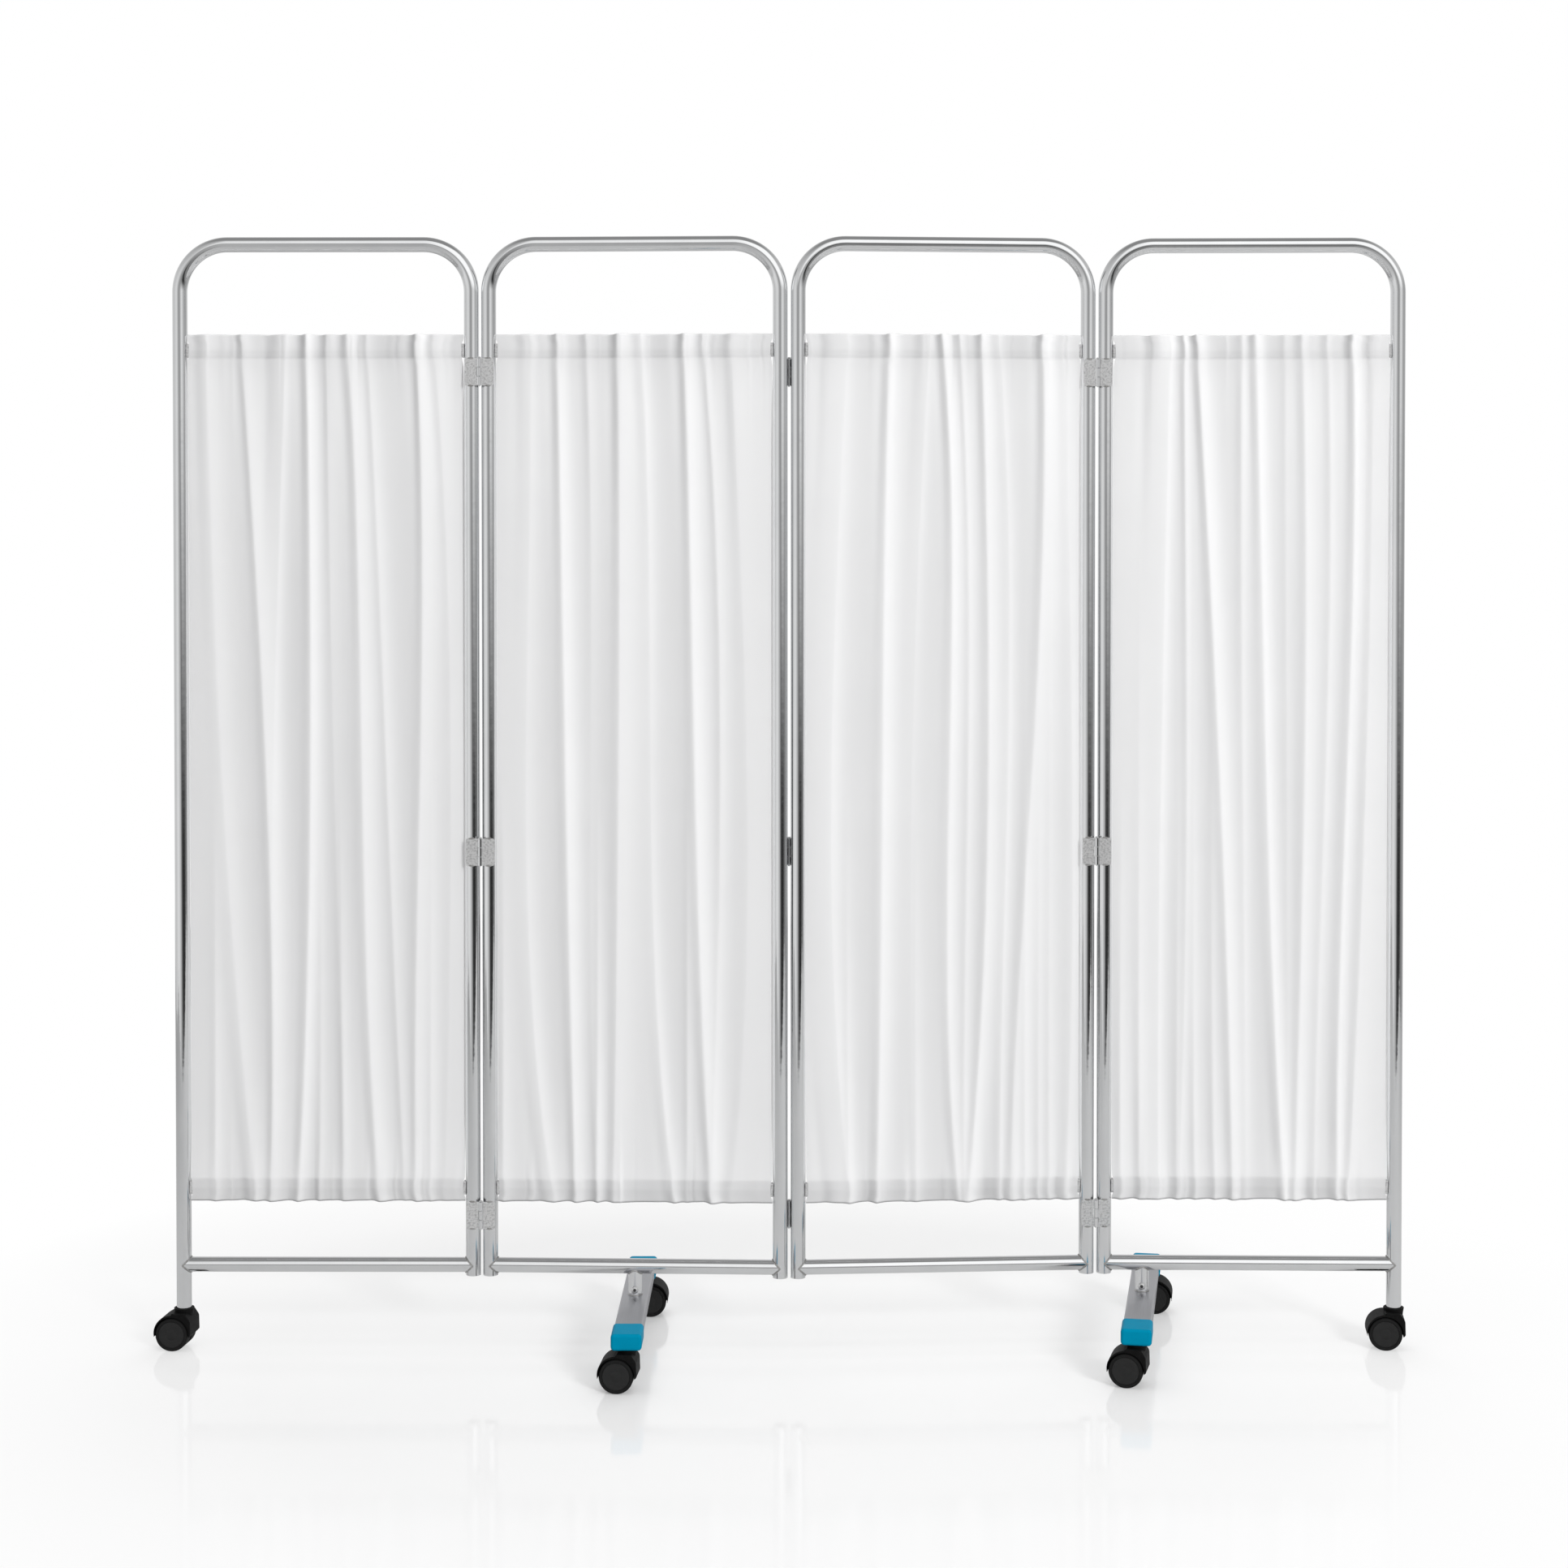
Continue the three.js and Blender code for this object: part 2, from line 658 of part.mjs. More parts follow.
function addCaster(parent, name, x, y) {
  const swivel = groupAt(parent, `swivel_${name}`, x, y, 0, radians(swivelDegrees[name]));
  add(swivel, `caster_${name}_housing`, housing, black);
  for (const [letter, side] of [['a', -1], ['b', 1]]) {
    const start = side * (webWidth / 2 + wheelSideGap);
    const axle = groupAt(swivel, `axle_${name}_${letter}`, -trail, start, wheelCentreHeight);
    add(axle, `caster_${name}_wheel_${letter}`, wheelGeometry(side), tyre);
  }
}

function addFoot(panel, number, x) {
  const skew = radians(footSkewDegrees[number]);
  const foot = groupAt(panel, `foot_${number}`, x, 0, 0, skew);
  add(foot, `foot_bar_${number}`, footBarSolid(), satin);
  add(foot, `foot_post_${number}`, postSolid(skew), chrome);
  add(foot, `foot_bolt_${number}`, boltGeometry(), zinc);
  for (const [place, end] of [['front', -1], ['rear', 1]]) {
    add(foot, `foot_cap_${number}_${place}`, footCapSolid(end), blue);
    addCaster(foot, `foot${number}_${place}`, 0, end * casterSpacing / 2);
  }
}

function fillPanel(panel, plan) {
  const { number } = plan;
  add(panel, `frame_${number}`, frameSolid(plan), chrome);
  add(panel, `rail_${number}`, railSolid(), chrome);
  add(panel, `curtain_${number}`, curtainSolid(number), cloth);
  for (const [place, height] of Object.entries(rodHeights)) {
    add(panel, `rod_${place}_${number}`, rodSolid(height), chrome);
  }
}

function addPins(panel, line, face) {
  for (const [place, height] of Object.entries(hingeHeights)) {
    const pin = add(panel, `hinge_pin_${line}_${place}`, pinGeometry(), zinc);
    pin.position.set(hingeReach, face * hingeOffset, height);
  }
}

// Panel 2 stands on its own foot. Panel 1 hangs on its left, and panels 3 and 4 follow on its right.
const panel2 = groupAt(screen, 'panel_2', 0, 0, 0, radians(headingDegrees));
const hinge12 = groupAt(panel2, 'hinge_12', -hingeReach, -hingeOffset, 0, radians(foldDegrees['12']));
const panel1 = groupAt(hinge12, 'panel_1', -hingeReach, hingeOffset, 0);
const hinge23 = groupAt(panel2, 'hinge_23', hingeReach, hingeOffset, 0, radians(foldDegrees['23']));
const panel3 = groupAt(hinge23, 'panel_3', hingeReach, -hingeOffset, 0);
const hinge34 = groupAt(panel3, 'hinge_34', hingeReach, -hingeOffset, 0, -radians(foldDegrees['34']));
const panel4 = groupAt(hinge34, 'panel_4', hingeReach, hingeOffset, 0);

[panel1, panel2, panel3, panel4].forEach((panel, i) => fillPanel(panel, panelPlans[i]));
addPins(panel1, '12', -1);
addPins(panel2, '23', 1);
addPins(panel3, '34', -1);
addFoot(panel2, '2', 0);
addFoot(panel4, '4', -halfPanel + endFootInset);
addCaster(panel1, 'end_left', -halfPanel, 0);
addCaster(panel4, 'end_right', halfPanel, 0);

// The origin is on the floor, in the middle of the space that the whole screen takes up
const bounds = new THREE.Box3().setFromObject(screen, true);
const middle = bounds.getCenter(new THREE.Vector3());
screen.position.set(-middle.x, -middle.y, -bounds.min.z);

export default part;
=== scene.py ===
# %% [markdown]
# # A ward privacy screen on wheels
# Four chrome tube frames stand side by side on hinges, with a gathered white curtain in each. Two cross
# feet and six twin-wheel casters carry them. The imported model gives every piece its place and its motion.
# This lesson dresses each piece in a smooth mesh with its finish, and looks at it as the photograph does.

# %% Load the frame
import math
import bmesh
import bpy
import numpy as np
from mathutils import Matrix, Vector
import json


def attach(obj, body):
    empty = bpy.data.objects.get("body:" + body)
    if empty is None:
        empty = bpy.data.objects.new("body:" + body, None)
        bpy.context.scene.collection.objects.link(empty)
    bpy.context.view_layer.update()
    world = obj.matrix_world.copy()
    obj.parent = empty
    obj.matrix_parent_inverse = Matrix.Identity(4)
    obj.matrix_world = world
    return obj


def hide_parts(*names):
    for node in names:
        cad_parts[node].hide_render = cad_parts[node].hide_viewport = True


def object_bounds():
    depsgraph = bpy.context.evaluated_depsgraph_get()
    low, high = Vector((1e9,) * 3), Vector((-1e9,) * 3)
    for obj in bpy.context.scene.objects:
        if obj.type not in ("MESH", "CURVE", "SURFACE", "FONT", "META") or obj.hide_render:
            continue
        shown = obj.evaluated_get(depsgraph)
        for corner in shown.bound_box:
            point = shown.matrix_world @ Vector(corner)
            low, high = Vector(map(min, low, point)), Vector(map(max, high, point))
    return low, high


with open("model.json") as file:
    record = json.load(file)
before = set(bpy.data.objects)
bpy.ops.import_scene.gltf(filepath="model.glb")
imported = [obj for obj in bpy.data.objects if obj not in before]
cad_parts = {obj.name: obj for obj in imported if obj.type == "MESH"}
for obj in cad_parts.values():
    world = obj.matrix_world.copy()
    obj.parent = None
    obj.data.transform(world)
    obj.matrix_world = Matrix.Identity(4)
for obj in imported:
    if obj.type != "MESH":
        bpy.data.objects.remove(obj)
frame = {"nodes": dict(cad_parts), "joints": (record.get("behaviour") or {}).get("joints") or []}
cad_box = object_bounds()
joints = {joint["name"]: joint for joint in frame["joints"]}
print("space that the screen takes up:", [round(v, 4) for v in (*cad_box[0], *cad_box[1])])

# %% [markdown]
# ## Places and sizes
# Every panel stands at a slightly different angle. So each gets a place of its own, on the floor under its
# rail with X along the rail, and its pieces are drawn there as if it stood straight. The sizes are measured
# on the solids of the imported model, which keeps both alike.

# %% Places and sizes
MM = 0.001
PANELS = (1, 2, 3, 4)


def points_of(node):
    return np.array([vertex.co for vertex in frame["nodes"][node].data.vertices])


def corners_of(node, place):
    """The lowest and highest corner of a node, seen from a place."""
    local = place.inverted()
    points = np.array([local @ Vector(point) for point in points_of(node)])
    return Vector(points.min(0)), Vector(points.max(0))


def place_along(node, axis):
    """The place on the floor under a node's middle, with its X or Y axis turned along the node."""
    points = points_of(node)
    middle = (points.max(0) + points.min(0)) / 2
    along = np.linalg.svd(points[:, :2] - middle[:2], full_matrices=False)[2][0]
    along *= np.sign(along[axis])
    turn = math.atan2(along[1], along[0]) - axis * math.pi / 2
    return Matrix.Translation((middle[0], middle[1], 0)) @ Matrix.Rotation(turn, 4, "Z")


panel_places = {number: place_along(f"rail_{number}", 0) for number in PANELS}
foot_places = {number: place_along(f"foot_bar_{number}", 1) for number in (2, 4)}

low, high = corners_of("rail_2", panel_places[2])
TUBE_RADIUS = (high.z - low.z) / 2
RAIL_HEIGHT = (high.z + low.z) / 2
LONG_LEG_END = corners_of("frame_1", panel_places[1])[0].z
SHORT_LEG_END = corners_of("frame_2", panel_places[2])[0].z
HALF_PANEL = -corners_of("frame_1", panel_places[1])[0].x - TUBE_RADIUS
SCREEN_TOP = cad_box[1].z
print("half the leg spacing:", round(HALF_PANEL, 4), "rail height:", round(RAIL_HEIGHT, 4))

# %% [markdown]
# ## Camera
# The photograph was taken from about chest height, far enough away that the legs look almost parallel. Its
# optical axis points a little above the middle of the picture, which a small vertical shift repeats.

# %% Camera
PHOTO_SIZE_PX = 1932
FOCAL_LENGTH_PX = 3180
AXIS_HEIGHT_PX = 800
CAMERA_PLACE = Vector((0.0041, -3.8137, 1.110))
CAMERA_PITCH = math.radians(-1.083)
scene = bpy.context.scene


def add_object(name, data, place=Matrix.Identity(4)):
    made = bpy.data.objects.new(name, data)
    made.matrix_world = place
    scene.collection.objects.link(made)
    return made


camera_data = bpy.data.cameras.new("camera")
camera_data.sensor_width = 36
camera_data.lens = camera_data.sensor_width * FOCAL_LENGTH_PX / PHOTO_SIZE_PX
camera_data.shift_y = (AXIS_HEIGHT_PX - PHOTO_SIZE_PX / 2) / PHOTO_SIZE_PX
camera = add_object("camera", camera_data)
camera.location = CAMERA_PLACE
camera.rotation_euler = (math.pi / 2 + CAMERA_PITCH, 0, 0)
scene.camera = camera
print("lens:", round(camera_data.lens, 2), "mm, shift:", round(camera_data.shift_y, 4))

# %% [markdown]
# ## Shader sums
# A finish is easier to read as a formula than as a list of boxes and wires. `Wire` wraps one output socket,
# and its operators add Math nodes. Every other node comes from `Graph.add`, which sets a node's settings
# first and then its sockets.

# %% A socket with arithmetic


class Wire:
    """One output socket of a node tree that can be used in sums."""

    def __init__(self, graph, socket):
        self.graph = graph
        self.socket = socket

    def math(self, operation, *others, turned=False):
        values = [*others, self] if turned else [self, *others]
        return self.graph.add("ShaderNodeMath", {"operation": operation}, dict(enumerate(values)))

    def __add__(self, other):
        return self.math("ADD", other)

    __radd__ = __add__

    def __sub__(self, other):
        return self.math("SUBTRACT", other)

    def __rsub__(self, other):
        return self.math("SUBTRACT", other, turned=True)

    def __mul__(self, other):
        return self.math("MULTIPLY", other)

    __rmul__ = __mul__

    def __truediv__(self, other):
        return self.math("DIVIDE", other)


# %% A node tree that is filled with calls


class Graph:
    """The node tree of a world or a material."""

    def __init__(self, owner):
        owner.use_nodes = True
        self.tree = owner.node_tree
        self.tree.nodes.clear()

    def add(self, kind, settings=None, sockets=None, output=0):
        node = self.tree.nodes.new(kind)
        for name, value in (settings or {}).items():
            if name == "stops":
                ramp = node.color_ramp
                while len(ramp.elements) < len(value):
                    ramp.elements.new(1)
                for element, (position, shade) in zip(ramp.elements, value):
                    element.position = position
                    element.color = grey(shade)
            else:
                setattr(node, name, value)
        for name, value in (sockets or {}).items():
            if isinstance(value, Wire):
                self.tree.links.new(value.socket, node.inputs[name])
            else:
                node.inputs[name].default_value = value
        return Wire(self, node.outputs[output]) if node.outputs else node

    def ramp(self, amount, stops):
        return self.add("ShaderNodeValToRGB", {"stops": stops}, {0: amount})

    def between(self, amount, first, second):
        """A colour between two colours."""
        sockets = {0: amount, 6: first, 7: second}
        return self.add("ShaderNodeMix", {"data_type": "RGBA"}, sockets, output=2)

    def blend(self, amount, first, second):
        """A shader between two shaders."""
        return self.add("ShaderNodeMixShader", {}, {0: amount, 1: first, 2: second})

    def split(self, place):
        """The X, Y and Z of a place."""
        return [self.add("ShaderNodeSeparateXYZ", {}, {0: place}, output=name) for name in "XYZ"]

    def noise(self, place, scale, detail=2.0, roughness=0.5):
        sockets = {"Vector": place, "Scale": scale, "Detail": detail, "Roughness": roughness}
        return self.add("ShaderNodeTexNoise", {}, sockets)

    def stretched(self, place, factors):
        """The same place with each axis multiplied, for grain that runs one way."""
        return self.add("ShaderNodeVectorMath", {"operation": "MULTIPLY"}, {0: place, 1: factors})

    def bump(self, height, distance, strength):
        sockets = {"Height": height, "Distance": distance, "Strength": strength}
        return self.add("ShaderNodeBump", {}, sockets)


def grey(shade):
    return (shade, shade, shade, 1)


def new_material(name):
    """A material, its graph, and the place on a piece where its textures start."""
    material = bpy.data.materials.new(name)
    graph = Graph(material)
    return material, graph, graph.add("ShaderNodeTexCoord", output="Object")


print("white as a colour:", grey(1.0))

# %% [markdown]
# ## Studio
# Chrome has hardly any colour of its own: what shows on it is the room. Instead of walls, the room is
# painted on the world by direction. It is bright on the left, and dark low down behind the camera and to
# its right, which gives each leg its bright left side and its dark stripe. The top bars mirror a softbox
# high behind the camera, under a dim ceiling. The camera itself sees plain white behind the screen.

# %% World
# Positions run once round the room: 0.25 is the left, 0.5 behind the camera, 0.75 the right.
LOW_WALL_STOPS = [
    (0.00, 0.60), (0.25, 0.52), (0.35, 0.66), (0.40, 0.64), (0.435, 0.50), (0.47, 0.40), (0.50, 0.24),
    (0.53, 0.04), (0.61, 0.01), (0.645, 0.05), (0.69, 0.14), (0.75, 0.24), (0.84, 0.34), (0.93, 0.50),
    (1.00, 0.58),
]
HIGH_WALL_STOPS = [
    (0.00, 0.66), (0.13, 0.62), (0.25, 0.50), (0.35, 0.62), (0.39, 0.64), (0.43, 0.48), (0.47, 0.30),
    (0.50, 0.26), (0.53, 0.36), (0.56, 0.56), (0.60, 0.68), (0.64, 0.56), (0.70, 0.36), (0.77, 0.30),
    (0.84, 0.42), (0.92, 0.64), (1.00, 0.66),
]
SOFTBOX_TURN_STOPS = [(0.43, 0.0), (0.46, 0.6), (0.52, 1.0), (0.63, 1.0), (0.69, 0.0)]
# Positions run from straight down to straight up: 0.5 is the horizon.
BELOW_WALL_STOPS = [(0.436, 1.0), (0.448, 0.0)]
LOW_OR_HIGH_STOPS = [(0.475, 0.0), (0.525, 1.0)]
SOFTBOX_HEIGHT_STOPS = [(0.545, 0.0), (0.58, 1.0), (0.78, 1.0), (0.84, 0.0)]
WALL_TOP_STOPS = [(0.56, 0.0), (0.66, 1.0)]
CEILING_STOPS = [(0.60, 0.52), (0.75, 0.40), (0.86, 0.22), (1.00, 0.24)]
DIM_FLOOR = grey(0.35)
SOFTBOX = grey(0.95)
WHITE = grey(1.0)
ROOM_LIGHT = 0.74
EXTRA_IN_CHROME = 0.45

world = bpy.data.worlds.new("studio")
scene.world = world
scene.view_settings.view_transform = "Standard"
graph = Graph(world)
east, north, up = graph.split(graph.add("ShaderNodeTexCoord", output="Generated"))
turn_share = east.math("ARCTAN2", north * -1) / (2 * math.pi) + 0.5
height_share = up.math("ARCSINE") / math.pi + 0.5
low_wall = graph.ramp(turn_share, LOW_WALL_STOPS)
high_wall = graph.ramp(turn_share, HIGH_WALL_STOPS)
dim_floor = graph.between(0.5, low_wall, DIM_FLOOR)
lower_room = graph.between(graph.ramp(height_share, BELOW_WALL_STOPS), low_wall, dim_floor)
walls = graph.between(graph.ramp(height_share, LOW_OR_HIGH_STOPS), lower_room, high_wall)
ceiling = graph.ramp(height_share, CEILING_STOPS)
room = graph.between(graph.ramp(height_share, WALL_TOP_STOPS), walls, ceiling)
softbox_turn = graph.ramp(turn_share, SOFTBOX_TURN_STOPS)
softbox_height = graph.ramp(height_share, SOFTBOX_HEIGHT_STOPS)
room = graph.between(softbox_turn * softbox_height, room, SOFTBOX)
seen_in_chrome = graph.add("ShaderNodeLightPath", output="Is Glossy Ray")
strength = ROOM_LIGHT + seen_in_chrome * EXTRA_IN_CHROME
studio = graph.add("ShaderNodeBackground", {}, {"Color": room, "Strength": strength})
backdrop = graph.add("ShaderNodeBackground", {}, {"Color": WHITE, "Strength": 1.0})
seen_by_camera = graph.add("ShaderNodeLightPath", output="Is Camera Ray")
graph.add("ShaderNodeOutputWorld", {}, {"Surface": graph.blend(seen_by_camera, studio, backdrop)})
print("nodes of the room:", len(graph.tree.nodes))

# %% [markdown]
# ## Lamps
# The world alone would light the cloth from all sides and hide its folds. A square lamp to the right of the
# camera brings them out, and two weak ones, behind and above, shine through the cotton. None of them shows
# in the chrome, which mirrors the painted softbox instead.

# %% Lamps
SCREEN_MIDDLE = (0, 0, 0.8)


def soft_lamp(name, place, target, size, power):
    """A rectangular lamp that looks at a point and doesn't show in the chrome."""
    data = bpy.data.lights.new(name, "AREA")
    data.shape = "RECTANGLE"
    data.size, data.size_y = size
    data.energy = power
    lamp = add_object(name, data)
    lamp.location = place
    lamp.rotation_euler = (Vector(target) - Vector(place)).to_track_quat("-Z", "Y").to_euler()
    lamp.visible_glossy = False
    return lamp


LAMPS = [
    soft_lamp("key_lamp", (3.9, -7.3, 3.7), SCREEN_MIDDLE, (1.8, 1.8), 440),
    soft_lamp("back_lamp", (0.4, 2.8, 2.4), SCREEN_MIDDLE, (3.4, 2.4), 50),
    soft_lamp("top_lamp", (0.0, -0.2, 3.6), (0, 0, 0), (3.5, 2.5), 50),
]
print("lamps:", [lamp.name for lamp in LAMPS])

# %% [markdown]
# ## Floor
# The floor is pale, slightly glossy, and fades into the white backdrop away from the screen, as a studio
# sweep does. It ends in front of the camera's feet, so the chrome finds the dark room behind it. The
# light and the chrome meet a plain matt grey floor instead of the one that the camera sees.

# %% Floor
FLOOR_LOW, FLOOR_HIGH = (-4.0, -2.3), (4.0, 5.0)
FADE_REACH = 4.0
FADE_STOPS = [(0.0, 0.10), (0.19, 0.36), (0.26, 0.70), (0.36, 1.0)]
floor_mesh = bpy.data.meshes.new("floor")
floor_corners = [(FLOOR_LOW[0], FLOOR_LOW[1], 0), (FLOOR_HIGH[0], FLOOR_LOW[1], 0),
                 (FLOOR_HIGH[0], FLOOR_HIGH[1], 0), (FLOOR_LOW[0], FLOOR_HIGH[1], 0)]
floor_mesh.from_pydata(floor_corners, [], [(0, 1, 2, 3)])
floor = add_object("floor", floor_mesh)

floor_finish, graph, place = new_material("pale_floor")
distance = graph.add("ShaderNodeVectorMath", {"operation": "LENGTH"}, {0: place}, output="Value")
pale = {"Base Color": grey(0.99), "Roughness": 0.07, "Specular IOR Level": 0.5}
surface = graph.add("ShaderNodeBsdfPrincipled", {}, pale)
glow = graph.add("ShaderNodeEmission", {}, {"Color": WHITE, "Strength": 1.0})
seen = graph.blend(graph.ramp(distance / FADE_REACH, FADE_STOPS), surface, glow)
matt = graph.add("ShaderNodeBsdfDiffuse", {}, {"Color": grey(0.60)})
seen_by_camera = graph.add("ShaderNodeLightPath", output="Is Camera Ray")
graph.add("ShaderNodeOutputMaterial", {}, {"Surface": graph.blend(seen_by_camera, matt, seen)})
floor_mesh.materials.append(floor_finish)
print("floor:", FLOOR_HIGH[0] - FLOOR_LOW[0], "x", FLOOR_HIGH[1] - FLOOR_LOW[1], "m")

# %% [markdown]
# ## Finishes
# Each finish is one function call: a bare Principled shader with a few numbers, and small sums that vary
# its colour, its roughness and its surface at the scale of the real thing. Plastic and the welds need one
# noise for both colour and roughness. Chrome, zinc and the brushed aluminium get sums of their own.

# %% What a finish is made of


def finish(name, numbers, varied, bump):
    """A material. varied and bump take the graph and the local place, and return what changes over it."""
    material, graph, place = new_material(name)
    sockets = {**numbers, **varied(graph, place), "Normal": bump(graph, place)}
    shader = graph.add("ShaderNodeBsdfPrincipled", {}, sockets)
    graph.add("ShaderNodeOutputMaterial", {}, {"Surface": shader})
    return material


def wear(noise, dark, light, roughness):
    """One noise (scale, detail, coarseness) moves a tint and the roughness (lowest, what is added)."""

    def varied(graph, place):
        spots = graph.noise(place, *noise)
        tint = graph.between(spots, dark, light)
        return {"Base Color": tint, "Roughness": roughness[0] + spots * roughness[1]}

    return varied


def fine_bump(scale, distance, strength, factors=None):
    """A noise as bump, stretched by factors where the grain runs one way."""

    def bump(graph, place):
        grain_place = graph.stretched(place, factors) if factors else place
        return graph.bump(graph.noise(grain_place, scale), distance, strength)

    return bump


dull_skin = fine_bump(900, 0.0001, 0.5)
moulded_skin = fine_bump(1500, 0.00006, 0.5)

# %% Metals
METAL = {"Metallic": 1.0}


def chrome_wear(graph, place):
    smudges = graph.noise(place, 22, 3)
    fine = graph.noise(place, 420, 2)
    tint = graph.between(smudges, (0.80, 0.81, 0.82, 1), (0.88, 0.885, 0.89, 1))
    return {"Base Color": tint, "Roughness": 0.045 + smudges * 0.05 + fine * 0.02}


def zinc_wear(graph, place):
    spots = graph.noise(place, 330, 4, 0.6)
    tint = graph.between(graph.ramp(spots, [(0.33, 0.0), (0.55, 1.0)]), grey(0.58), grey(0.90))
    return {"Base Color": tint, "Roughness": 0.34 + spots * 0.25}


def satin_wear(graph, place):
    grain = graph.noise(graph.stretched(place, (900, 14, 900)), 1, 3)
    clouds = graph.noise(place, 14, 2)
    tint = graph.between(grain, (0.38, 0.385, 0.41, 1), (0.54, 0.545, 0.57, 1))
    return {"Base Color": tint, "Roughness": 0.24 + grain * 0.14 + clouds * 0.08}


CHROME = finish("chrome", METAL, chrome_wear, fine_bump(60, 0.00025, 0.25))
ZINC = finish("dull_zinc", METAL, zinc_wear, dull_skin)
SATIN = finish("satin_aluminium", METAL, satin_wear, fine_bump(1, 0.00005, 0.4, (1400, 20, 1400)))
weld_wear = wear((90, 3, 0.5), (0.24, 0.23, 0.22, 1), (0.66, 0.66, 0.65, 1), (0.18, 0.2))
WELD = finish("weld_bead", METAL, weld_wear, dull_skin)
oxide_wear = wear((260, 3, 0.6), grey(0.04), grey(0.16), (0.28, 0.2))
OXIDE = finish("dark_screw_steel", METAL, oxide_wear, dull_skin)
print("metals:", [made.name for made in (CHROME, ZINC, SATIN, WELD, OXIDE)])

# %% Plastics


def plastic(name, ior, gloss, *looks):
    return finish(name, {"IOR": ior, "Specular IOR Level": gloss}, wear(*looks), moulded_skin)


BLUE_TINTS = (0.000, 0.215, 0.36, 1), (0.000, 0.265, 0.43, 1)
BLUE = plastic("blue_plastic", 1.47, 0.02, (40, 3, 0.5), *BLUE_TINTS, (0.34, 0.14))
HOUSING = plastic("black_nylon", 1.5, 0.05, (120, 4, 0.6), grey(0.003), grey(0.010), (0.40, 0.18))
TREAD = plastic("black_tread", 1.5, 0.14, (200, 4, 0.65), grey(0.004), grey(0.016), (0.42, 0.3))
HUB = plastic("hub_cover", 1.5, 0.3, (150, 4, 0.6), grey(0.009), grey(0.018), (0.28, 0.15))
print("plastics:", [made.name for made in (BLUE, HOUSING, TREAD, HUB)])

# %% [markdown]
# ## Cloth finish
# The curtains are thin white cotton, so some light from behind comes through, and less of it through a
# doubled hem. A plain weave with threads 0.6 mm apart gives the bump. The folds of the mesh are shallower
# than real ones, because the screen has to fold flat. So each point of the curtains also carries how far it
# stands forward, `crest`, and the tint follows it as painted shade: the valleys and the left sides of the
# folds, which turn away from the lamp on the right, are painted greyer, and the hems get a deeper painted
# shade and a painted shadow along the bottom edge.

# %% Cloth finish
THREAD_PITCH = 0.0006
CLOUD_SHARE = 0.1
SHEER, LESS_IN_HEM = 0.22, 0.08

COTTON, graph, place = new_material("white_cotton")
across, _, along = graph.split(place)
warp = (across * (2 * math.pi / THREAD_PITCH)).math("SINE")
weft = (along * (2 * math.pi / THREAD_PITCH)).math("SINE")
slub = graph.noise(graph.stretched(place, (140, 140, 1500)), 1, 2)
normal = graph.bump(warp * weft * 0.5 + slub, 0.00012, 0.35)
doubled = graph.add("ShaderNodeAttribute", {"attribute_name": "doubled"}, output="Fac")
crest = graph.add("ShaderNodeAttribute", {"attribute_name": "crest"}, output="Fac")
clouds = graph.noise(place, 9, 2)
cloudy_crest = crest + clouds * CLOUD_SHARE - CLOUD_SHARE / 2
# Painted shade: crest greys the valleys and the left flanks of the folds. The hem tint paints a deeper shade
# there, and the shadow along the bottom edge.
gathered = graph.between(cloudy_crest, (0.61, 0.61, 0.615, 1), (0.98, 0.98, 0.985, 1))
hem = graph.between(crest, (0.47, 0.47, 0.475, 1), (0.985, 0.985, 0.99, 1))
tint = graph.between(doubled, gathered, hem)
matt_white = {"Base Color": tint, "Roughness": 0.85, "Specular IOR Level": 0.25, "Sheen Weight": 0.15,
              "Sheen Roughness": 0.5, "Normal": normal}
front = graph.add("ShaderNodeBsdfPrincipled", {}, matt_white)
through = graph.add("ShaderNodeBsdfTranslucent", {}, {"Color": grey(0.9), "Normal": normal})
thinness = SHEER - doubled * LESS_IN_HEM
graph.add("ShaderNodeOutputMaterial", {}, {"Surface": graph.blend(thinness, front, through)})
print("cloth:", COTTON.name, "with", len(COTTON.node_tree.nodes), "nodes")

# %% [markdown]
# ## Outlines
# Plates, the caps and the caster housings start as a flat outline. A real edge is never quite sharp, so
# `rounded` rounds the corners of an outline, and `inset_outline` moves it inwards for a rounded edge.

# %% Outlines
STRAIGHT_ON = -0.999


def inset_outline(outline, distance):
    """A closed outline that runs counter-clockwise, moved inwards by a distance."""
    points = [Vector(point) for point in outline]
    moved = []
    for i, point in enumerate(points):
        before = (point - points[i - 1]).normalized()
        after = (points[(i + 1) % len(points)] - point).normalized()
        inward_before = Vector((-before.y, before.x))
        inward_after = Vector((-after.y, after.x))
        corner = inward_before + inward_after
        corner *= 2 / max(corner.length_squared, 0.5)
        moved.append(point + corner * distance)
    return moved


def rounded(corners, steps=5):
    """An outline from (x, y, radius) corners, with each corner rounded."""
    outline = []
    for i, (x, y, radius) in enumerate(corners):
        point = Vector((x, y))
        before = (Vector(corners[i - 1][:2]) - point).normalized()
        after = (Vector(corners[(i + 1) % len(corners)][:2]) - point).normalized()
        if radius <= 0 or before.dot(after) < STRAIGHT_ON:
            outline.append(point)
            continue
        half = math.acos(max(-1, min(1, before.dot(after)))) / 2
        reach = radius / math.tan(half)
        middle = point + (before + after).normalized() * (radius / math.sin(half))
        start = point + before * reach - middle
        end = point + after * reach - middle
        sweep_angle = start.angle_signed(end)
        for step in range(steps + 1):
            turned = Matrix.Rotation(-sweep_angle * step / steps, 2) @ start
            outline.append(middle + turned)
    return outline


def rectangle(width, height, corner, steps=6):
    x, y = width / 2, height / 2
    return rounded([(-x, -y, corner), (x, -y, corner), (x, y, corner), (-x, y, corner)], steps)


print("points of a rounded rectangle:", len(rectangle(4, 2, 1)))

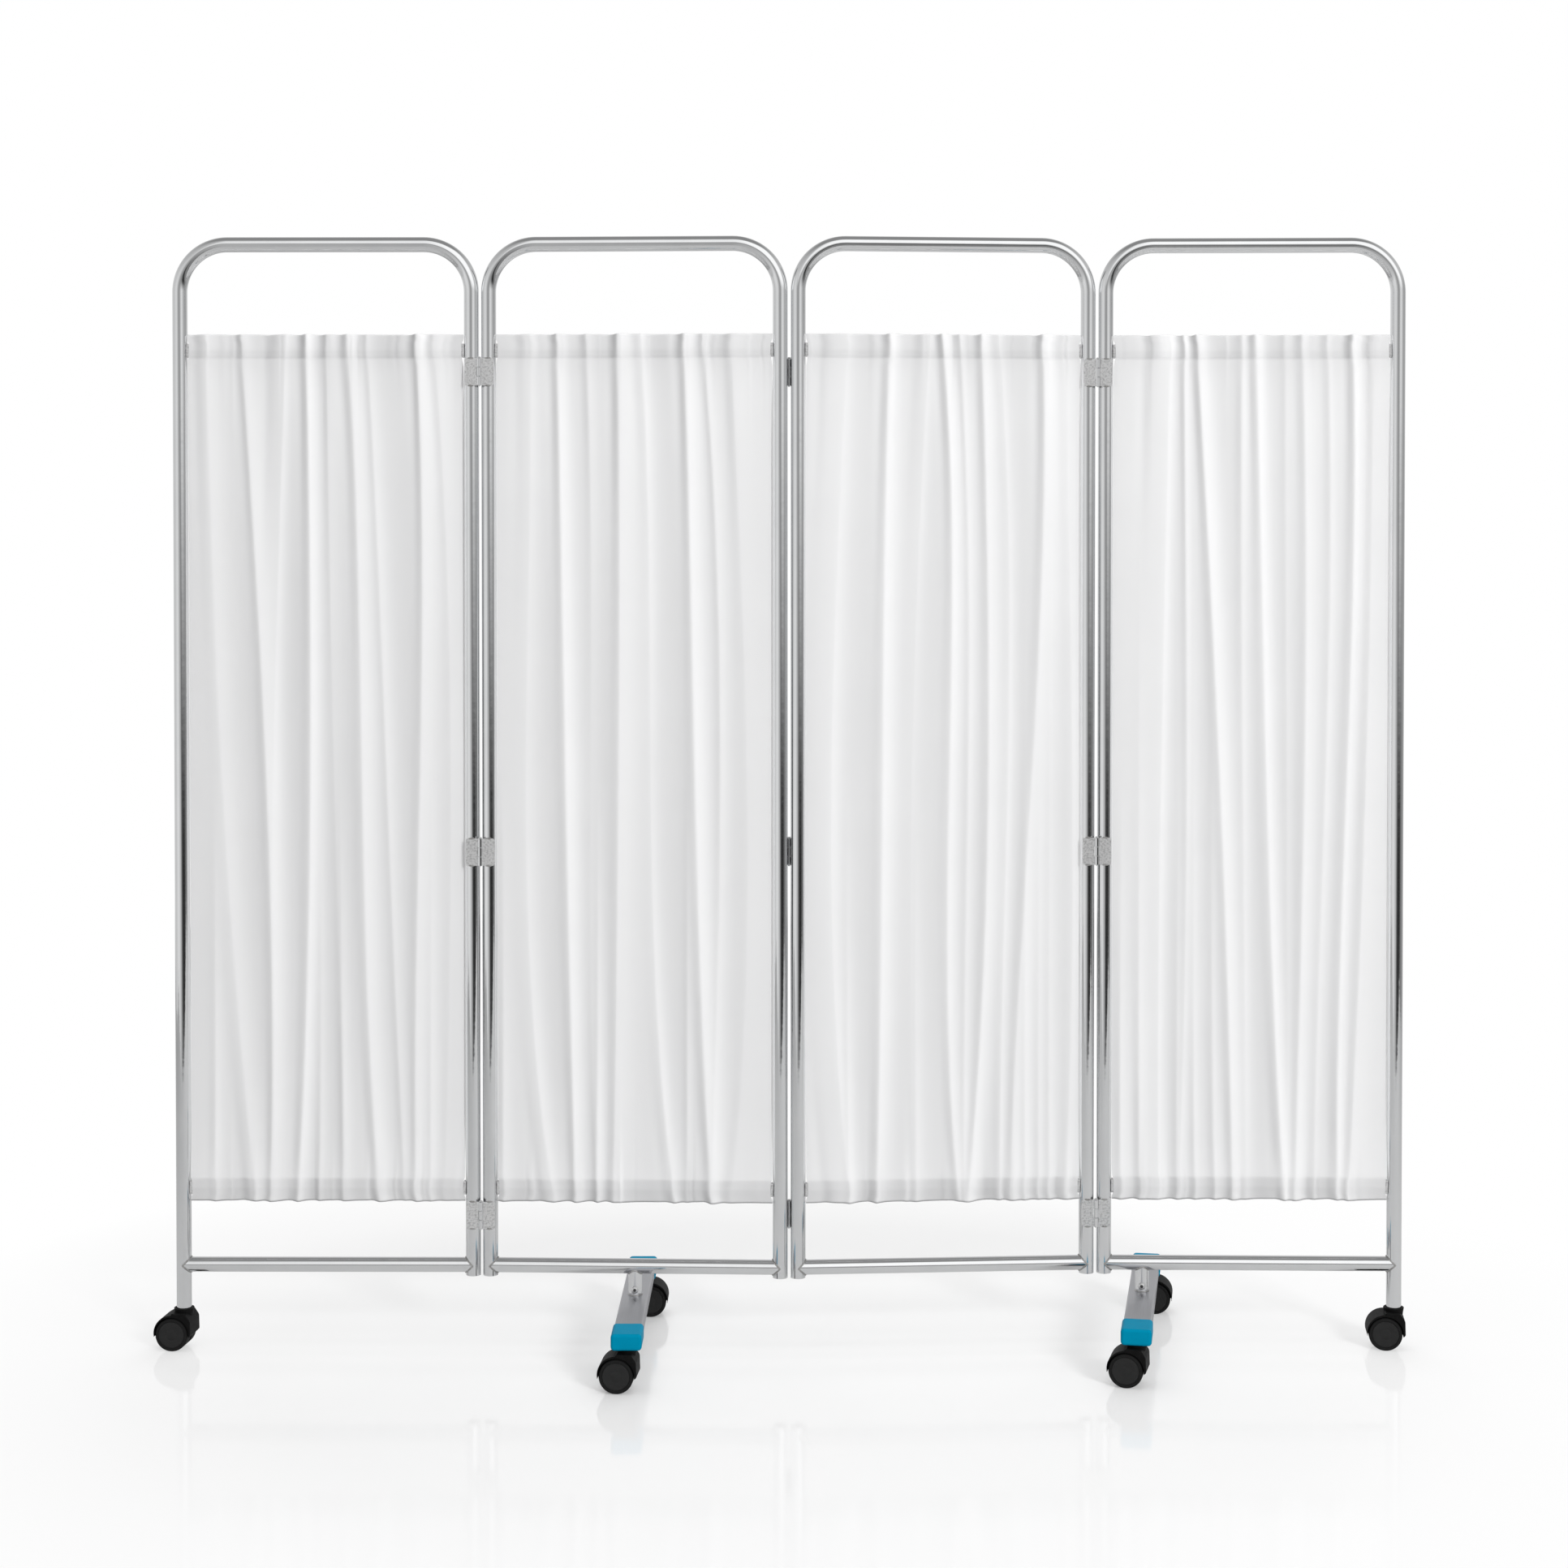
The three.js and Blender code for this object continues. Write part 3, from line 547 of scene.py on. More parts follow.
# %% [markdown]
# ## Meshes in rings
# Nearly every piece of the screen is a bar, a turned part or a plate. Each is a skin over rings of points:
# a bar's rings follow its path, a turned part's rings follow its profile, and a plate's rings are its
# outline at a few depths. `Shape` gathers them in millimetres. Curves and bevels would also do, but rings
# give full control over every edge and every seam.

# %% Rings


def full_turn(count):
    return [2 * math.pi * i / count for i in range(count)]


def quarter_turn(steps):
    return [step / steps * math.pi / 2 for step in range(steps + 1)]


def ring_point(radius, turn, height):
    return Vector((radius * math.cos(turn), radius * math.sin(turn), height))


def ring_round(middle, side, other, radius, count):
    """Points round a middle, in the plane of two directions."""
    return [middle + (side * math.cos(t) + other * math.sin(t)) * radius for t in full_turn(count)]


def mirrored(profile):
    """A turned part's lower half and the same upside down."""
    return profile + [(radius, -height) for radius, height in reversed(profile)]


print("a ring of four points:", [round(turn, 2) for turn in full_turn(4)])

# %% Shape


class Shape:
    """Points in millimetres and faces, gathered until they become one mesh."""

    def __init__(self):
        self.points = []
        self.faces = []
        self.finishes = []

    def add(self, points, faces, finish_index=0):
        start = len(self.points)
        self.points += [Vector(point) for point in points]
        self.faces += [[start + i for i in face] for face in faces]
        self.finishes += [finish_index] * len(faces)
        return self

    def skin(self, rings, finish_index=0, ends=True, closed=False):
        """Quads from ring to ring. ends closes the first and the last ring with a face."""
        count = len(rings[0])
        faces = []
        for ring in range(len(rings) - (not closed)):
            near = ring * count
            far = (ring + 1) % len(rings) * count
            for i in range(count):
                after = (i + 1) % count
                faces.append([near + i, near + after, far + after, far + i])
        if ends and not closed:
            last = (len(rings) - 1) * count
            faces += [list(range(count)), [last + i for i in range(count)]]
        return self.add([point for ring in rings for point in ring], faces, finish_index)

    def lathe(self, profile, at=Matrix.Identity(4), sides=48, finish_index=0, closed=False):
        """Turns (radius, height) points round the Z axis of at."""
        turns = full_turn(sides)
        rings = [[at @ ring_point(radius, t, height) for t in turns] for radius, height in profile]
        return self.skin(rings, finish_index, closed=closed)

    def sweep(self, stations, sides, finish_index=0):
        """A round bar on the plane X-Z through (place, direction, radius) stations."""
        side = Vector((0, 1, 0))
        rings = [ring_round(middle, side, direction.cross(side).normalized(), radius, sides)
                 for middle, direction, radius in stations]
        return self.skin(rings, finish_index)

    def plate(self, outline, thickness, at, edge, steps=2):
        """An outline on X and Y, as thick as given along Z and centred, with rounded edges."""
        levels = []
        for turn in quarter_turn(steps):
            levels.append((edge * (1 - math.sin(turn)), edge * (1 - math.cos(turn)) - thickness / 2))
        rings = [[at @ Vector((x, y, z)) for x, y in inset_outline(outline, inset)]
                 for inset, z in mirrored(levels)]
        return self.skin(rings)


print("faces of a turned cone:", len(Shape().lathe([(0, 0), (1, 0), (0, 1)]).faces))

# %% [markdown]
# ## From a shape to a piece
# A piece is a mesh object with its finishes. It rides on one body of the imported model, and it can stand for
# a solid of that model. Smooth shading with sharp edges where faces meet at more than 32 degrees, and
# normals that follow the large faces, make flat sides look flat and round ones round.

# %% From a shape to a piece
SHARP_FROM_DEG = 32
SAME_PLACE_MM = 1e-4


def mend(mesh, gap):
    """Joins points in the same place and turns all faces outwards."""
    sheet = bmesh.new()
    sheet.from_mesh(mesh)
    bmesh.ops.remove_doubles(sheet, verts=sheet.verts, dist=gap)
    bmesh.ops.recalc_face_normals(sheet, faces=sheet.faces)
    sheet.to_mesh(mesh)
    sheet.free()


def make_piece(name, shape, place, finishes, body, nodes=()):
    """One object in the place given. It rides on a body and may stand for CAD nodes."""
    mesh = bpy.data.meshes.new(name)
    mesh.from_pydata([point * MM for point in shape.points], [], shape.faces)
    for material in finishes:
        mesh.materials.append(material)
    mesh.polygons.foreach_set("material_index", shape.finishes)
    mend(mesh, SAME_PLACE_MM * MM)
    mesh.polygons.foreach_set("use_smooth", [True] * len(mesh.polygons))
    mesh.set_sharp_from_angle(angle=math.radians(SHARP_FROM_DEG))
    piece = add_object(name, mesh, place)
    weighted = piece.modifiers.new("large_faces_first", "WEIGHTED_NORMAL")
    weighted.keep_sharp = True
    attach(piece, body)
    if nodes:
        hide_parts(*nodes)
    return piece


def shifted(x, y, z, turns=()):
    """A place that is moved, then turned about the axes named, in degrees."""
    matrix = Matrix.Translation((x, y, z))
    for degrees, axis in turns:
        matrix = matrix @ Matrix.Rotation(math.radians(degrees), 4, axis)
    return matrix


print("two metres to the right:", shifted(2, 0, 0).translation[:])

# %% [markdown]
# ## Frames
# Each frame is one tube bent twice. The open ends have a rounded lip and a bore, so that the wall of the
# tube shows from below. The casters of the outer legs stand in a plastic plug.

# %% Frames
RADIUS = TUBE_RADIUS / MM
HALF = HALF_PANEL / MM
RAIL_Z = RAIL_HEIGHT / MM
TOP_Z = SCREEN_TOP / MM
BEND_RADIUS = 70
BEND_STEPS = 24
TUBE_WALL = 1.2
BORE_RADIUS = RADIUS - TUBE_WALL
BORE_DEPTH = 30
LIP = [(0.5, 0), (0.12, 0.12), (0, 0.45)]
PLUG = [(4.4, 0.8), (BORE_RADIUS, 0.8), (BORE_RADIUS, 20), (4.4, 20)]
TUBE_SIDES = 48
UP = Vector((0, 0, 1))


def hollow_end(x, z):
    """Stations from deep inside a tube, round its lip and on to its outside."""
    steps = [(BORE_DEPTH, BORE_RADIUS)]
    steps += [(rise, BORE_RADIUS + setback) for rise, setback in LIP]
    steps += [(rise, RADIUS - setback) for rise, setback in reversed(LIP)]
    return [(Vector((x, 0, z + rise)), UP, radius) for rise, radius in steps]


def frame_stations(left_end, right_end):
    """Up the left leg, round both bends and down the right leg."""
    stations = hollow_end(-HALF, left_end)
    for side, first_turn in ((-1, math.pi), (1, math.pi / 2)):
        for bent in quarter_turn(BEND_STEPS):
            turn = first_turn - bent
            x = side * (HALF - BEND_RADIUS) + BEND_RADIUS * math.cos(turn)
            z = TOP_Z - RADIUS - BEND_RADIUS + BEND_RADIUS * math.sin(turn)
            stations.append((Vector((x, 0, z)), Vector((math.sin(turn), 0, -math.cos(turn))), RADIUS))
    return stations + [(point, -UP, radius) for point, _, radius in reversed(hollow_end(HALF, right_end))]


LONG_LEGS = {1: -1, 4: 1}
long_end, short_end = LONG_LEG_END / MM, SHORT_LEG_END / MM
for number in PANELS:
    long_side = LONG_LEGS.get(number, 0)
    leg_ends = [long_end if side == long_side else short_end for side in (-1, 1)]
    shape = Shape().sweep(frame_stations(*leg_ends), TUBE_SIDES)
    if long_side:
        shape.lathe(PLUG, shifted(long_side * HALF, 0, long_end), finish_index=1, closed=True)
    make_piece(f"tube_{number}", shape, panel_places[number], [CHROME, HOUSING], f"panel_{number}",
               [f"frame_{number}"])
print("frames: 4, legs end at", round(long_end, 1), "and", round(short_end, 1), "mm")

# %% [markdown]
# ## Rails and welds
# The bottom rail is the same tube, cut to the round of the legs. Where two equal tubes meet at a right
# angle, the seam lies as far from the leg's axis as it lies above the rail's, so its points are easy to
# work out. A weld is a thin bar along the seam, with a small ripple for each drop of metal.

# %% Rails
RAIL_BITE = 0.5
SEAM_POINTS = 240
BEAD_SIDES = 10
BEAD_RIPPLE = 0.10
BEAD_LIFT = 0.15


def seam_point(side, turn):
    y, z = RADIUS * math.cos(turn), RADIUS * math.sin(turn)
    return Vector((side * (HALF - abs(z)), y, z))


def weld_bead(shape, points, outwards, radius=1.25, pitch=1.6):
    """A closed rippled bead through points, pushed out along the directions given."""
    count = len(points)
    travelled = 0.0
    stations = []
    for i, point in enumerate(points):
        ahead = points[(i + 1) % count]
        along = (ahead - points[i - 1]).normalized()
        travelled += (ahead - point).length
        swell = radius * (1 + BEAD_RIPPLE * math.sin(2 * math.pi * travelled / pitch))
        side = outwards[i].normalized()
        middle = point + side * radius * BEAD_LIFT
        stations.append(ring_round(middle, side, along.cross(side).normalized(), swell, BEAD_SIDES))
    return shape.skin(stations, 1, ends=False, closed=True)


def rail_shape():
    lift = Vector((0, 0, RAIL_Z))
    rings = []
    for side in (-1, 1):
        bite = Vector((side * RAIL_BITE, 0, 0))
        rings.append([seam_point(side, turn) + bite + lift for turn in full_turn(TUBE_SIDES)])
    shape = Shape().skin(rings)
    for side in (-1, 1):
        seam = [seam_point(side, turn) for turn in full_turn(SEAM_POINTS)]
        outwards = []
        for point in seam:
            from_leg = Vector((point.x - side * HALF, point.y, 0))
            from_rail = Vector((0, point.y, point.z))
            outwards.append(from_leg + from_rail)
        weld_bead(shape, [point + lift for point in seam], outwards)
    return shape


rail = rail_shape()
for number in PANELS:
    make_piece(f"bottom_rail_{number}", rail, panel_places[number], [CHROME, WELD], f"panel_{number}",
               [f"rail_{number}"])
print("rails: 4, each with", len(rail.faces), "faces")

# %% [markdown]
# ## Rods and their hooks
# Each curtain hangs between two thin rods. The ends of a rod drop into open-topped hooks on the inner sides
# of the legs, which is why a ward can take the curtains off and wash them.

# %% Rods and hooks
ROD_RADIUS = 3
ROD_CHAMFER = 0.6
ROD_PLAY = 0.5
ROD_HALF = HALF - RADIUS - ROD_PLAY
HOOK_THICKNESS = 3
HOOK_BITE = 0.8
HOOK_X, HOOK_Y = 6, 10
HOOK_SLOT = ROD_RADIUS + 0.3
SLOT_STEPS = 12
rod_levels = {}
for level in ("top", "bottom"):
    low, high = corners_of(f"rod_{level}_2", panel_places[2])
    rod_levels[level] = (low.z + high.z) / 2 / MM


def rod_shape(height):
    end = [(0, -ROD_HALF), (ROD_RADIUS - ROD_CHAMFER, -ROD_HALF), (ROD_RADIUS, -ROD_HALF + ROD_CHAMFER)]
    return Shape().lathe(mirrored(end), shifted(0, 0, height, ((90, "Y"),)), sides=24)


def hook_outline():
    """A plate that is open at the top, with a half-round bed for the rod."""
    outline = rounded([(-HOOK_SLOT, HOOK_Y, 0), (-HOOK_X, HOOK_Y, 1.5), (-HOOK_X, -HOOK_Y, 3),
                       (HOOK_X, -HOOK_Y, 3), (HOOK_X, HOOK_Y, 1.5), (HOOK_SLOT, HOOK_Y, 0)])
    for step in range(SLOT_STEPS + 1):
        turn = -step / SLOT_STEPS * math.pi
        outline.append(Vector((HOOK_SLOT * math.cos(turn), HOOK_SLOT * math.sin(turn))))
    return outline


def hooks_shape():
    shape = Shape()
    for side in (-1, 1):
        for height in rod_levels.values():
            middle = side * (HALF - RADIUS - HOOK_THICKNESS / 2 + HOOK_BITE / 2)
            place = shifted(middle, 0, height, ((90, "X"), (90, "Y")))
            shape.plate(hook_outline(), HOOK_THICKNESS + HOOK_BITE, place, 0.3)
    return shape


for number in PANELS:
    place, body = panel_places[number], f"panel_{number}"
    for level, height in rod_levels.items():
        make_piece(f"curtain_rod_{level}_{number}", rod_shape(height), place, [CHROME], body,
                   [f"rod_{level}_{number}"])
    make_piece(f"rod_hooks_{number}", hooks_shape(), place, [ZINC], body)
print("rods at", {level: round(height, 1) for level, height in rod_levels.items()}, "mm")

# %% [markdown]
# ## Hinges
# Two leaves make a hinge. One has the two outer knuckles and the other the middle one, and a loose headed
# pin holds them. The leaves lie on the front of the legs at the first and third fold and on the back at the
# second, so the screen folds up like a fan. A short bead of weld holds each end of a leaf on its leg.

# %% Hinge sizes
HINGE_GAP = 1.5
HINGE_REACH = HALF + RADIUS + HINGE_GAP
LEAF_LEVEL = 11.2
LEAF_THICKNESS = 2
LEAF_HALF = 20
LEAF_WIDTH = 21
LEAF_SETBACK = 3.6
AXIS_LEVEL = 12.6
KNUCKLE_PITCH = 13.467
HALF_KNUCKLE = 6.533
HALF_NOTCH, HALF_TONGUE = 6.93, 6.53
PIN_BELOW_LEAF = 1.4
LEVELS = ("top", "middle", "bottom")
hinge_levels = []
for level in LEVELS:
    pin_end = corners_of(f"hinge_pin_12_{level}", panel_places[1])[0].z / MM
    hinge_levels.append(pin_end + PIN_BELOW_LEAF + LEAF_HALF)
print("hinges at", [round(height) for height in hinge_levels], "mm")

# %% Hinge leaves


def both_ends(corners):
    """Corners at one end of a leaf, and the same at its other end."""
    return corners + [(x, -y, radius) for x, y, radius in reversed(corners)]


LEAF_CORNER = (LEAF_WIDTH, -LEAF_HALF, 2.5)
LEAF_OUTLINES = {
    "left": rounded(both_ends([(0, -LEAF_HALF, 0), LEAF_CORNER])
                    + both_ends([(0, HALF_NOTCH, 0), (LEAF_SETBACK, HALF_NOTCH, 0.4)])),
    "right": rounded(both_ends([(LEAF_SETBACK, -LEAF_HALF, 0.8), LEAF_CORNER])
                     + both_ends([(LEAF_SETBACK, HALF_TONGUE, 0), (0, HALF_TONGUE, 0)])),
}
KNUCKLE_LEVELS = {"left": (-KNUCKLE_PITCH, KNUCKLE_PITCH), "right": (0,)}
BARREL = mirrored([(1.75, -HALF_KNUCKLE + 0.3), (2.0, -HALF_KNUCKLE), (2.9, -HALF_KNUCKLE),
                   (3.2, -HALF_KNUCKLE + 0.3)])
BEAD_AT = (12.5, 11.4)
BEAD_HALF, BEAD_RADIUS = 5.0, 1.5
BEAD_STEPS = 16


def leaf_shape(shape, hand, face, height):
    """A leaf with its knuckles and two weld beads, on one face of the screen."""
    inward = -1 if hand == "left" else 1
    axis_x = -inward * HINGE_REACH
    place = Matrix.Translation((axis_x, face * LEAF_LEVEL, height)) @ Matrix.Diagonal((inward, 1, 1, 1))
    upright = place @ Matrix.Rotation(math.pi / 2, 4, "X")
    shape.plate(LEAF_OUTLINES[hand], LEAF_THICKNESS, upright, 0.35)
    for level in KNUCKLE_LEVELS[hand]:
        shape.lathe(BARREL, shifted(axis_x, face * AXIS_LEVEL, height + level), 28, 2, closed=True)
    for end in (-1, 1):
        centre = Vector((axis_x + inward * BEAD_AT[0], face * BEAD_AT[1], height + end * LEAF_HALF))
        stations = []
        for step in range(BEAD_STEPS + 1):
            share = 2 * step / BEAD_STEPS - 1
            ripple = 1 + 0.08 * math.sin(step * 2.4)
            swell = BEAD_RADIUS * math.sqrt(max(0.02, 1 - share * share)) * ripple
            stations.append((centre + Vector((share * BEAD_HALF, 0, 0)), Vector((1, 0, 0)), swell))
        shape.sweep(stations, 12, finish_index=1)


PANEL_LEAVES = {1: [("left", -1)], 2: [("right", -1), ("left", 1)], 3: [("right", 1), ("left", -1)],
                4: [("right", -1)]}
for number, leaves in PANEL_LEAVES.items():
    shape = Shape()
    for hand, face in leaves:
        for height in hinge_levels:
            leaf_shape(shape, hand, face, height)
    make_piece(f"hinge_leaves_{number}", shape, panel_places[number], [ZINC, WELD, CHROME],
               f"panel_{number}")
print("leaves:", sum(len(leaves) for leaves in PANEL_LEAVES.values()) * len(LEVELS))

# %% Hinge pins
PIN = [(0, -21.4), (1.1, -21.4), (1.5, -21.0), (1.5, 20.3), (2.5, 20.3), (2.8, 20.6), (2.75, 21.3),
       (2.1, 21.9), (1.0, 22.1), (0, 22.1)]
for line, number, face in (("12", 1, -1), ("23", 2, 1), ("34", 3, -1)):
    for level, height in zip(LEVELS, hinge_levels):
        pin_place = shifted(HINGE_REACH * MM, face * AXIS_LEVEL * MM, height * MM)
        make_piece(f"pin_{line}_{level}", Shape().lathe(PIN, sides=24), panel_places[number] @ pin_place,
                   [ZINC], f"panel_{number}", [f"hinge_pin_{line}_{level}"])
print("pins:", 3 * len(LEVELS), "each", round(PIN[-1][1] - PIN[0][1], 1), "mm long")

# %% [markdown]
# ## Curtains
# A gathered curtain is one long strip that is pushed together on its rods. The light shows its crests as
# bright lines: the cloth climbs steeply to each from the left and falls away more softly on the right. Most
# crests run from hem to hem and drift sideways, and short ones start in a hem and fade out. A simulation
# would make folds of its own, so each crest is written down: five places across the width in thousandths,
# from the top hem to the bottom one, how much it stands out at the top, the middle and the bottom in
# hundredths, and the reach of its two sides in millimetres.

# %% Curtain crests
CRESTS = {
    1: [(70, 80, 115, 165, 215, 45, 50, 60, 22, 22), (205, 225, 290, 295, 300, 55, 75, 80, 10, 18),
        (350, 335, 300, 300, 300, 45, 30, 0, 30, 8), (435, 440, 443, 427, 403, 95, 90, 75, 13, 9),
        (505, 510, 525, 545, 565, 50, 25, 15, 9, 22), (590, 605, 635, 640, 675, 70, 90, 80, 14, 18),
        (655, 680, 715, 745, 770, 30, 35, 30, 8, 10), (835, 850, 840, 825, 820, 90, 70, 70, 11, 22),
        (900, 935, 945, 950, 930, 40, 30, 20, 12, 30), (475, 475, 475, 475, 470, 0, 0, 40, 8, 8),
        (540, 540, 545, 550, 555, 0, 0, 40, 7, 8), (880, 880, 880, 875, 875, 0, 0, 30, 7, 8),
        (90, 90, 90, 90, 90, 0, 0, 35, 9, 8)],
    2: [(120, 125, 95, 125, 170, 30, 25, 60, 25, 12), (225, 232, 252, 264, 280, 80, 85, 80, 12, 12),
        (330, 340, 340, 340, 355, 40, 10, 25, 10, 12), (445, 448, 445, 436, 427, 100, 90, 75, 14, 40),
        (530, 548, 555, 574, 618, 35, 20, 50, 16, 8), (687, 696, 724, 737, 768, 90, 95, 75, 12, 14),
        (756, 794, 805, 806, 783, 40, 35, 20, 8, 10), (856, 878, 907, 907, 870, 45, 30, 30, 16, 40),
        (365, 365, 365, 365, 363, 0, 0, 45, 7, 7), (690, 690, 690, 690, 690, 0, 0, 30, 6, 6),
        (20, 20, 20, 20, 20, 0, 0, 35, 8, 9)],
    3: [(142, 120, 90, 98, 135, 30, 60, 60, 45, 12), (300, 291, 276, 274, 261, 90, 85, 80, 12, 12),
        (440, 417, 383, 380, 383, 35, 15, 10, 25, 8), (506, 525, 527, 513, 540, 100, 80, 60, 11, 10),
        (565, 585, 592, 580, 576, 45, 40, 30, 8, 8), (641, 656, 665, 648, 610, 75, 70, 90, 10, 13),
        (706, 736, 731, 720, 706, 20, 45, 45, 14, 7), (866, 866, 828, 780, 754, 100, 75, 80, 12, 26),
        (944, 955, 973, 973, 958, 30, 55, 50, 16, 20), (800, 800, 800, 800, 800, 0, 5, 35, 7, 8),
        (850, 850, 850, 850, 850, 0, 5, 35, 7, 8), (889, 889, 889, 889, 889, 0, 10, 35, 8, 8),
        (150, 150, 150, 150, 155, 0, 0, 35, 7, 8), (400, 400, 400, 400, 400, 0, 0, 30, 8, 8)],
    4: [(200, 193, 172, 168, 165, 70, 55, 55, 45, 8), (256, 260, 272, 262, 251, 55, 30, 20, 7, 7),
        (307, 337, 387, 420, 435, 100, 80, 70, 10, 14), (465, 462, 474, 479, 487, 35, 35, 20, 10, 8),
        (518, 532, 556, 584, 613, 95, 95, 85, 14, 9), (620, 627, 630, 640, 640, 20, 20, 10, 8, 8),
        (685, 697, 697, 685, 671, 50, 75, 90, 12, 16), (776, 788, 771, 753, 737, 35, 40, 35, 10, 9),
        (868, 874, 849, 828, 818, 90, 80, 70, 12, 8), (943, 935, 925, 894, 872, 35, 80, 80, 13, 45),
        (30, 30, 30, 30, 30, 0, 0, 40, 8, 8), (97, 97, 97, 97, 100, 0, 10, 40, 8, 8),
        (237, 237, 237, 237, 235, 0, 5, 35, 8, 8), (296, 296, 296, 296, 300, 0, 10, 40, 8, 8),
        (362, 362, 362, 362, 370, 0, 5, 40, 8, 8)],
}
LEVEL_SHARES = (0.96, 0.81, 0.50, 0.26, 0.07)
STRENGTH_SHARES = (0.03, 0.5, 0.97)
print("crests:", {number: len(rows) for number, rows in CRESTS.items()})

# %% [markdown]
# ## From crests to folds
# Each crest adds a narrow ridge and a wide, low skirt. Near the hems the gathers are pinched closer
# together, with a crease before each ridge. The sum is then centred on a slow mean of its own, so that the
# cloth stays over its rods.

# %% From crests to folds
low, high = corners_of("curtain_2", panel_places[2])
CLOTH_LOW, CLOTH_HIGH = low.z / MM, high.z / MM
HEM_HALF_WIDTH = 200.9
CLOTH_HALF_WIDTH = 203.6
HEM_PINCH = 0.4
PINCH_FADE_TOP, PINCH_FADE_BOTTOM = 0.13, 0.09
PINCH_AT_BOTTOM = 0.7
CREASE, CREASE_PLACE, CREASE_WIDTH = 0.5, 0.8, 9.0
RIDGE, SKIRT, SKIRT_REACH = 0.62, 0.38, 2.6
BLUNT = 1.0


def crest_sum(number, height_share, shares):
    """How far forward the cloth stands across its width at one height, from its crests."""
    forward = np.zeros(len(shares))
    near_top = math.exp(-(1 - height_share) / PINCH_FADE_TOP)
    near_hem = near_top + PINCH_AT_BOTTOM * math.exp(-height_share / PINCH_FADE_BOTTOM)
    for crest in CRESTS[number]:
        places, strengths = np.array(crest[:5]) / 1000, np.array(crest[5:8]) / 100
        left, right = crest[8:]
        middle = np.polyval(np.polyfit(LEVEL_SHARES, places, 3), height_share)
        strength = np.interp(height_share, STRENGTH_SHARES, strengths[::-1])
        offset = (shares - middle) * 2 * CLOTH_HALF_WIDTH
        reach = np.where(offset < 0, left, right) * (1 - HEM_PINCH * near_hem)
        away = np.sqrt(offset ** 2 + BLUNT ** 2) - BLUNT
        ridge = RIDGE * np.exp(-(away / reach) ** 1.3)
        skirt = SKIRT * np.exp(-(away / (SKIRT_REACH * reach)) ** 1.5)
        crease = CREASE * near_hem * np.exp(-((offset + left * CREASE_PLACE) / CREASE_WIDTH) ** 2)
        forward += strength * (ridge + skirt - crease)
    return forward


def centred(forward):
    """The same folds round a middle that follows them slowly."""
    count = len(forward) // 5
    weights = np.hanning(2 * count + 1)
    padded = np.pad(forward, count, mode="edge")
    return forward - np.convolve(padded, weights / weights.sum(), mode="valid")


print("cloth from", round(CLOTH_LOW), "to", round(CLOTH_HIGH), "mm")

# %% [markdown]
# ## The strip and its hems
# The strip starts at the hidden edge of the top hem, climbs behind the rod, turns over it and comes down in
# front, then the same below. A hem's folds are shallow, because it lies round a straight rod, and its free
# edge ruffles. Short wrinkles start at the stitches. They are drawn at random, from a seed for each
# curtain, so that every run gives the same cloth.

# %% The strip and its hems
HEM = 34
STITCHES = (CLOTH_HIGH - HEM, CLOTH_LOW + HEM)
TUCK = 3
CLEAR_OF_STITCH = 4
EDGE_TURN = 1.2
HEM_ROWS, CLOTH_ROWS = 15, 110
GATHERS = 22


def cloth_path():
    """Rows of the cloth from the top hem's hidden edge to the bottom hem's: (height, layer, doubled)."""
    top_stitch, bottom_stitch = STITCHES
    top_turn, bottom_turn = CLOTH_HIGH - EDGE_TURN, CLOTH_LOW + EDGE_TURN
    stretches = [
        (top_stitch - TUCK, top_turn, HEM_ROWS, 1.0, 1.0),
        (CLOTH_HIGH, CLOTH_HIGH, 1, 0.0, 1.0),
        (top_turn, top_stitch, HEM_ROWS, -1.0, 1.0),
        (top_stitch - CLEAR_OF_STITCH, bottom_stitch + CLEAR_OF_STITCH, CLOTH_ROWS, -1.0, 0.0),
        (bottom_stitch, bottom_turn, HEM_ROWS, -1.0, 1.0),
        (CLOTH_LOW, CLOTH_LOW, 1, 0.0, 1.0),
        (bottom_turn, bottom_stitch + TUCK, HEM_ROWS, 1.0, 1.0),
    ]
    return [(z, layer, doubled) for first, last, count, layer, doubled in stretches
            for z in np.linspace(first, last, count)]


def small_gathers(rng, shares):
    """Short random wrinkles of one hem: their forms across the width, and how far each one runs."""
    places = rng.uniform(0.01, 0.99, GATHERS)[:, None]
    widths = rng.uniform(2.2, 5.5, GATHERS)[:, None]
    heights = rng.uniform(-1.1, 1.1, GATHERS)[:, None]
    forms = heights * np.exp(-((shares - places) * 2 * CLOTH_HALF_WIDTH / widths) ** 2)
    return forms, rng.uniform(12, 75, GATHERS)[:, None]


print("rows of cloth:", len(cloth_path()))

# %% [markdown]
# ## The curtain mesh
# Each row of the strip is worked out across the whole width at once. Its front follows the folds, and its
# back runs round the rod where the hem holds it. Two numbers go with every point: `doubled` where the cloth
# is a hem, and `crest`, a painted shade which is high on the crests and on wrinkles that stand forward, and
# low in the valleys, on the left flanks that turn away from the lamp, and in a painted shadow along the
# bottom edge.

# %% How deep the folds are
FOLD_DEPTH, FOLD_GAIN = 10.0, 1.6
HEM_DEPTH, RUFFLE_DEPTH, RUFFLE_LEAN = 0.32, 0.16, 0.8
STITCH_DEPTH, STITCH_REACH = 0.68, 45
STITCH_LEAN, LEAN_REACH = 6.4, 40


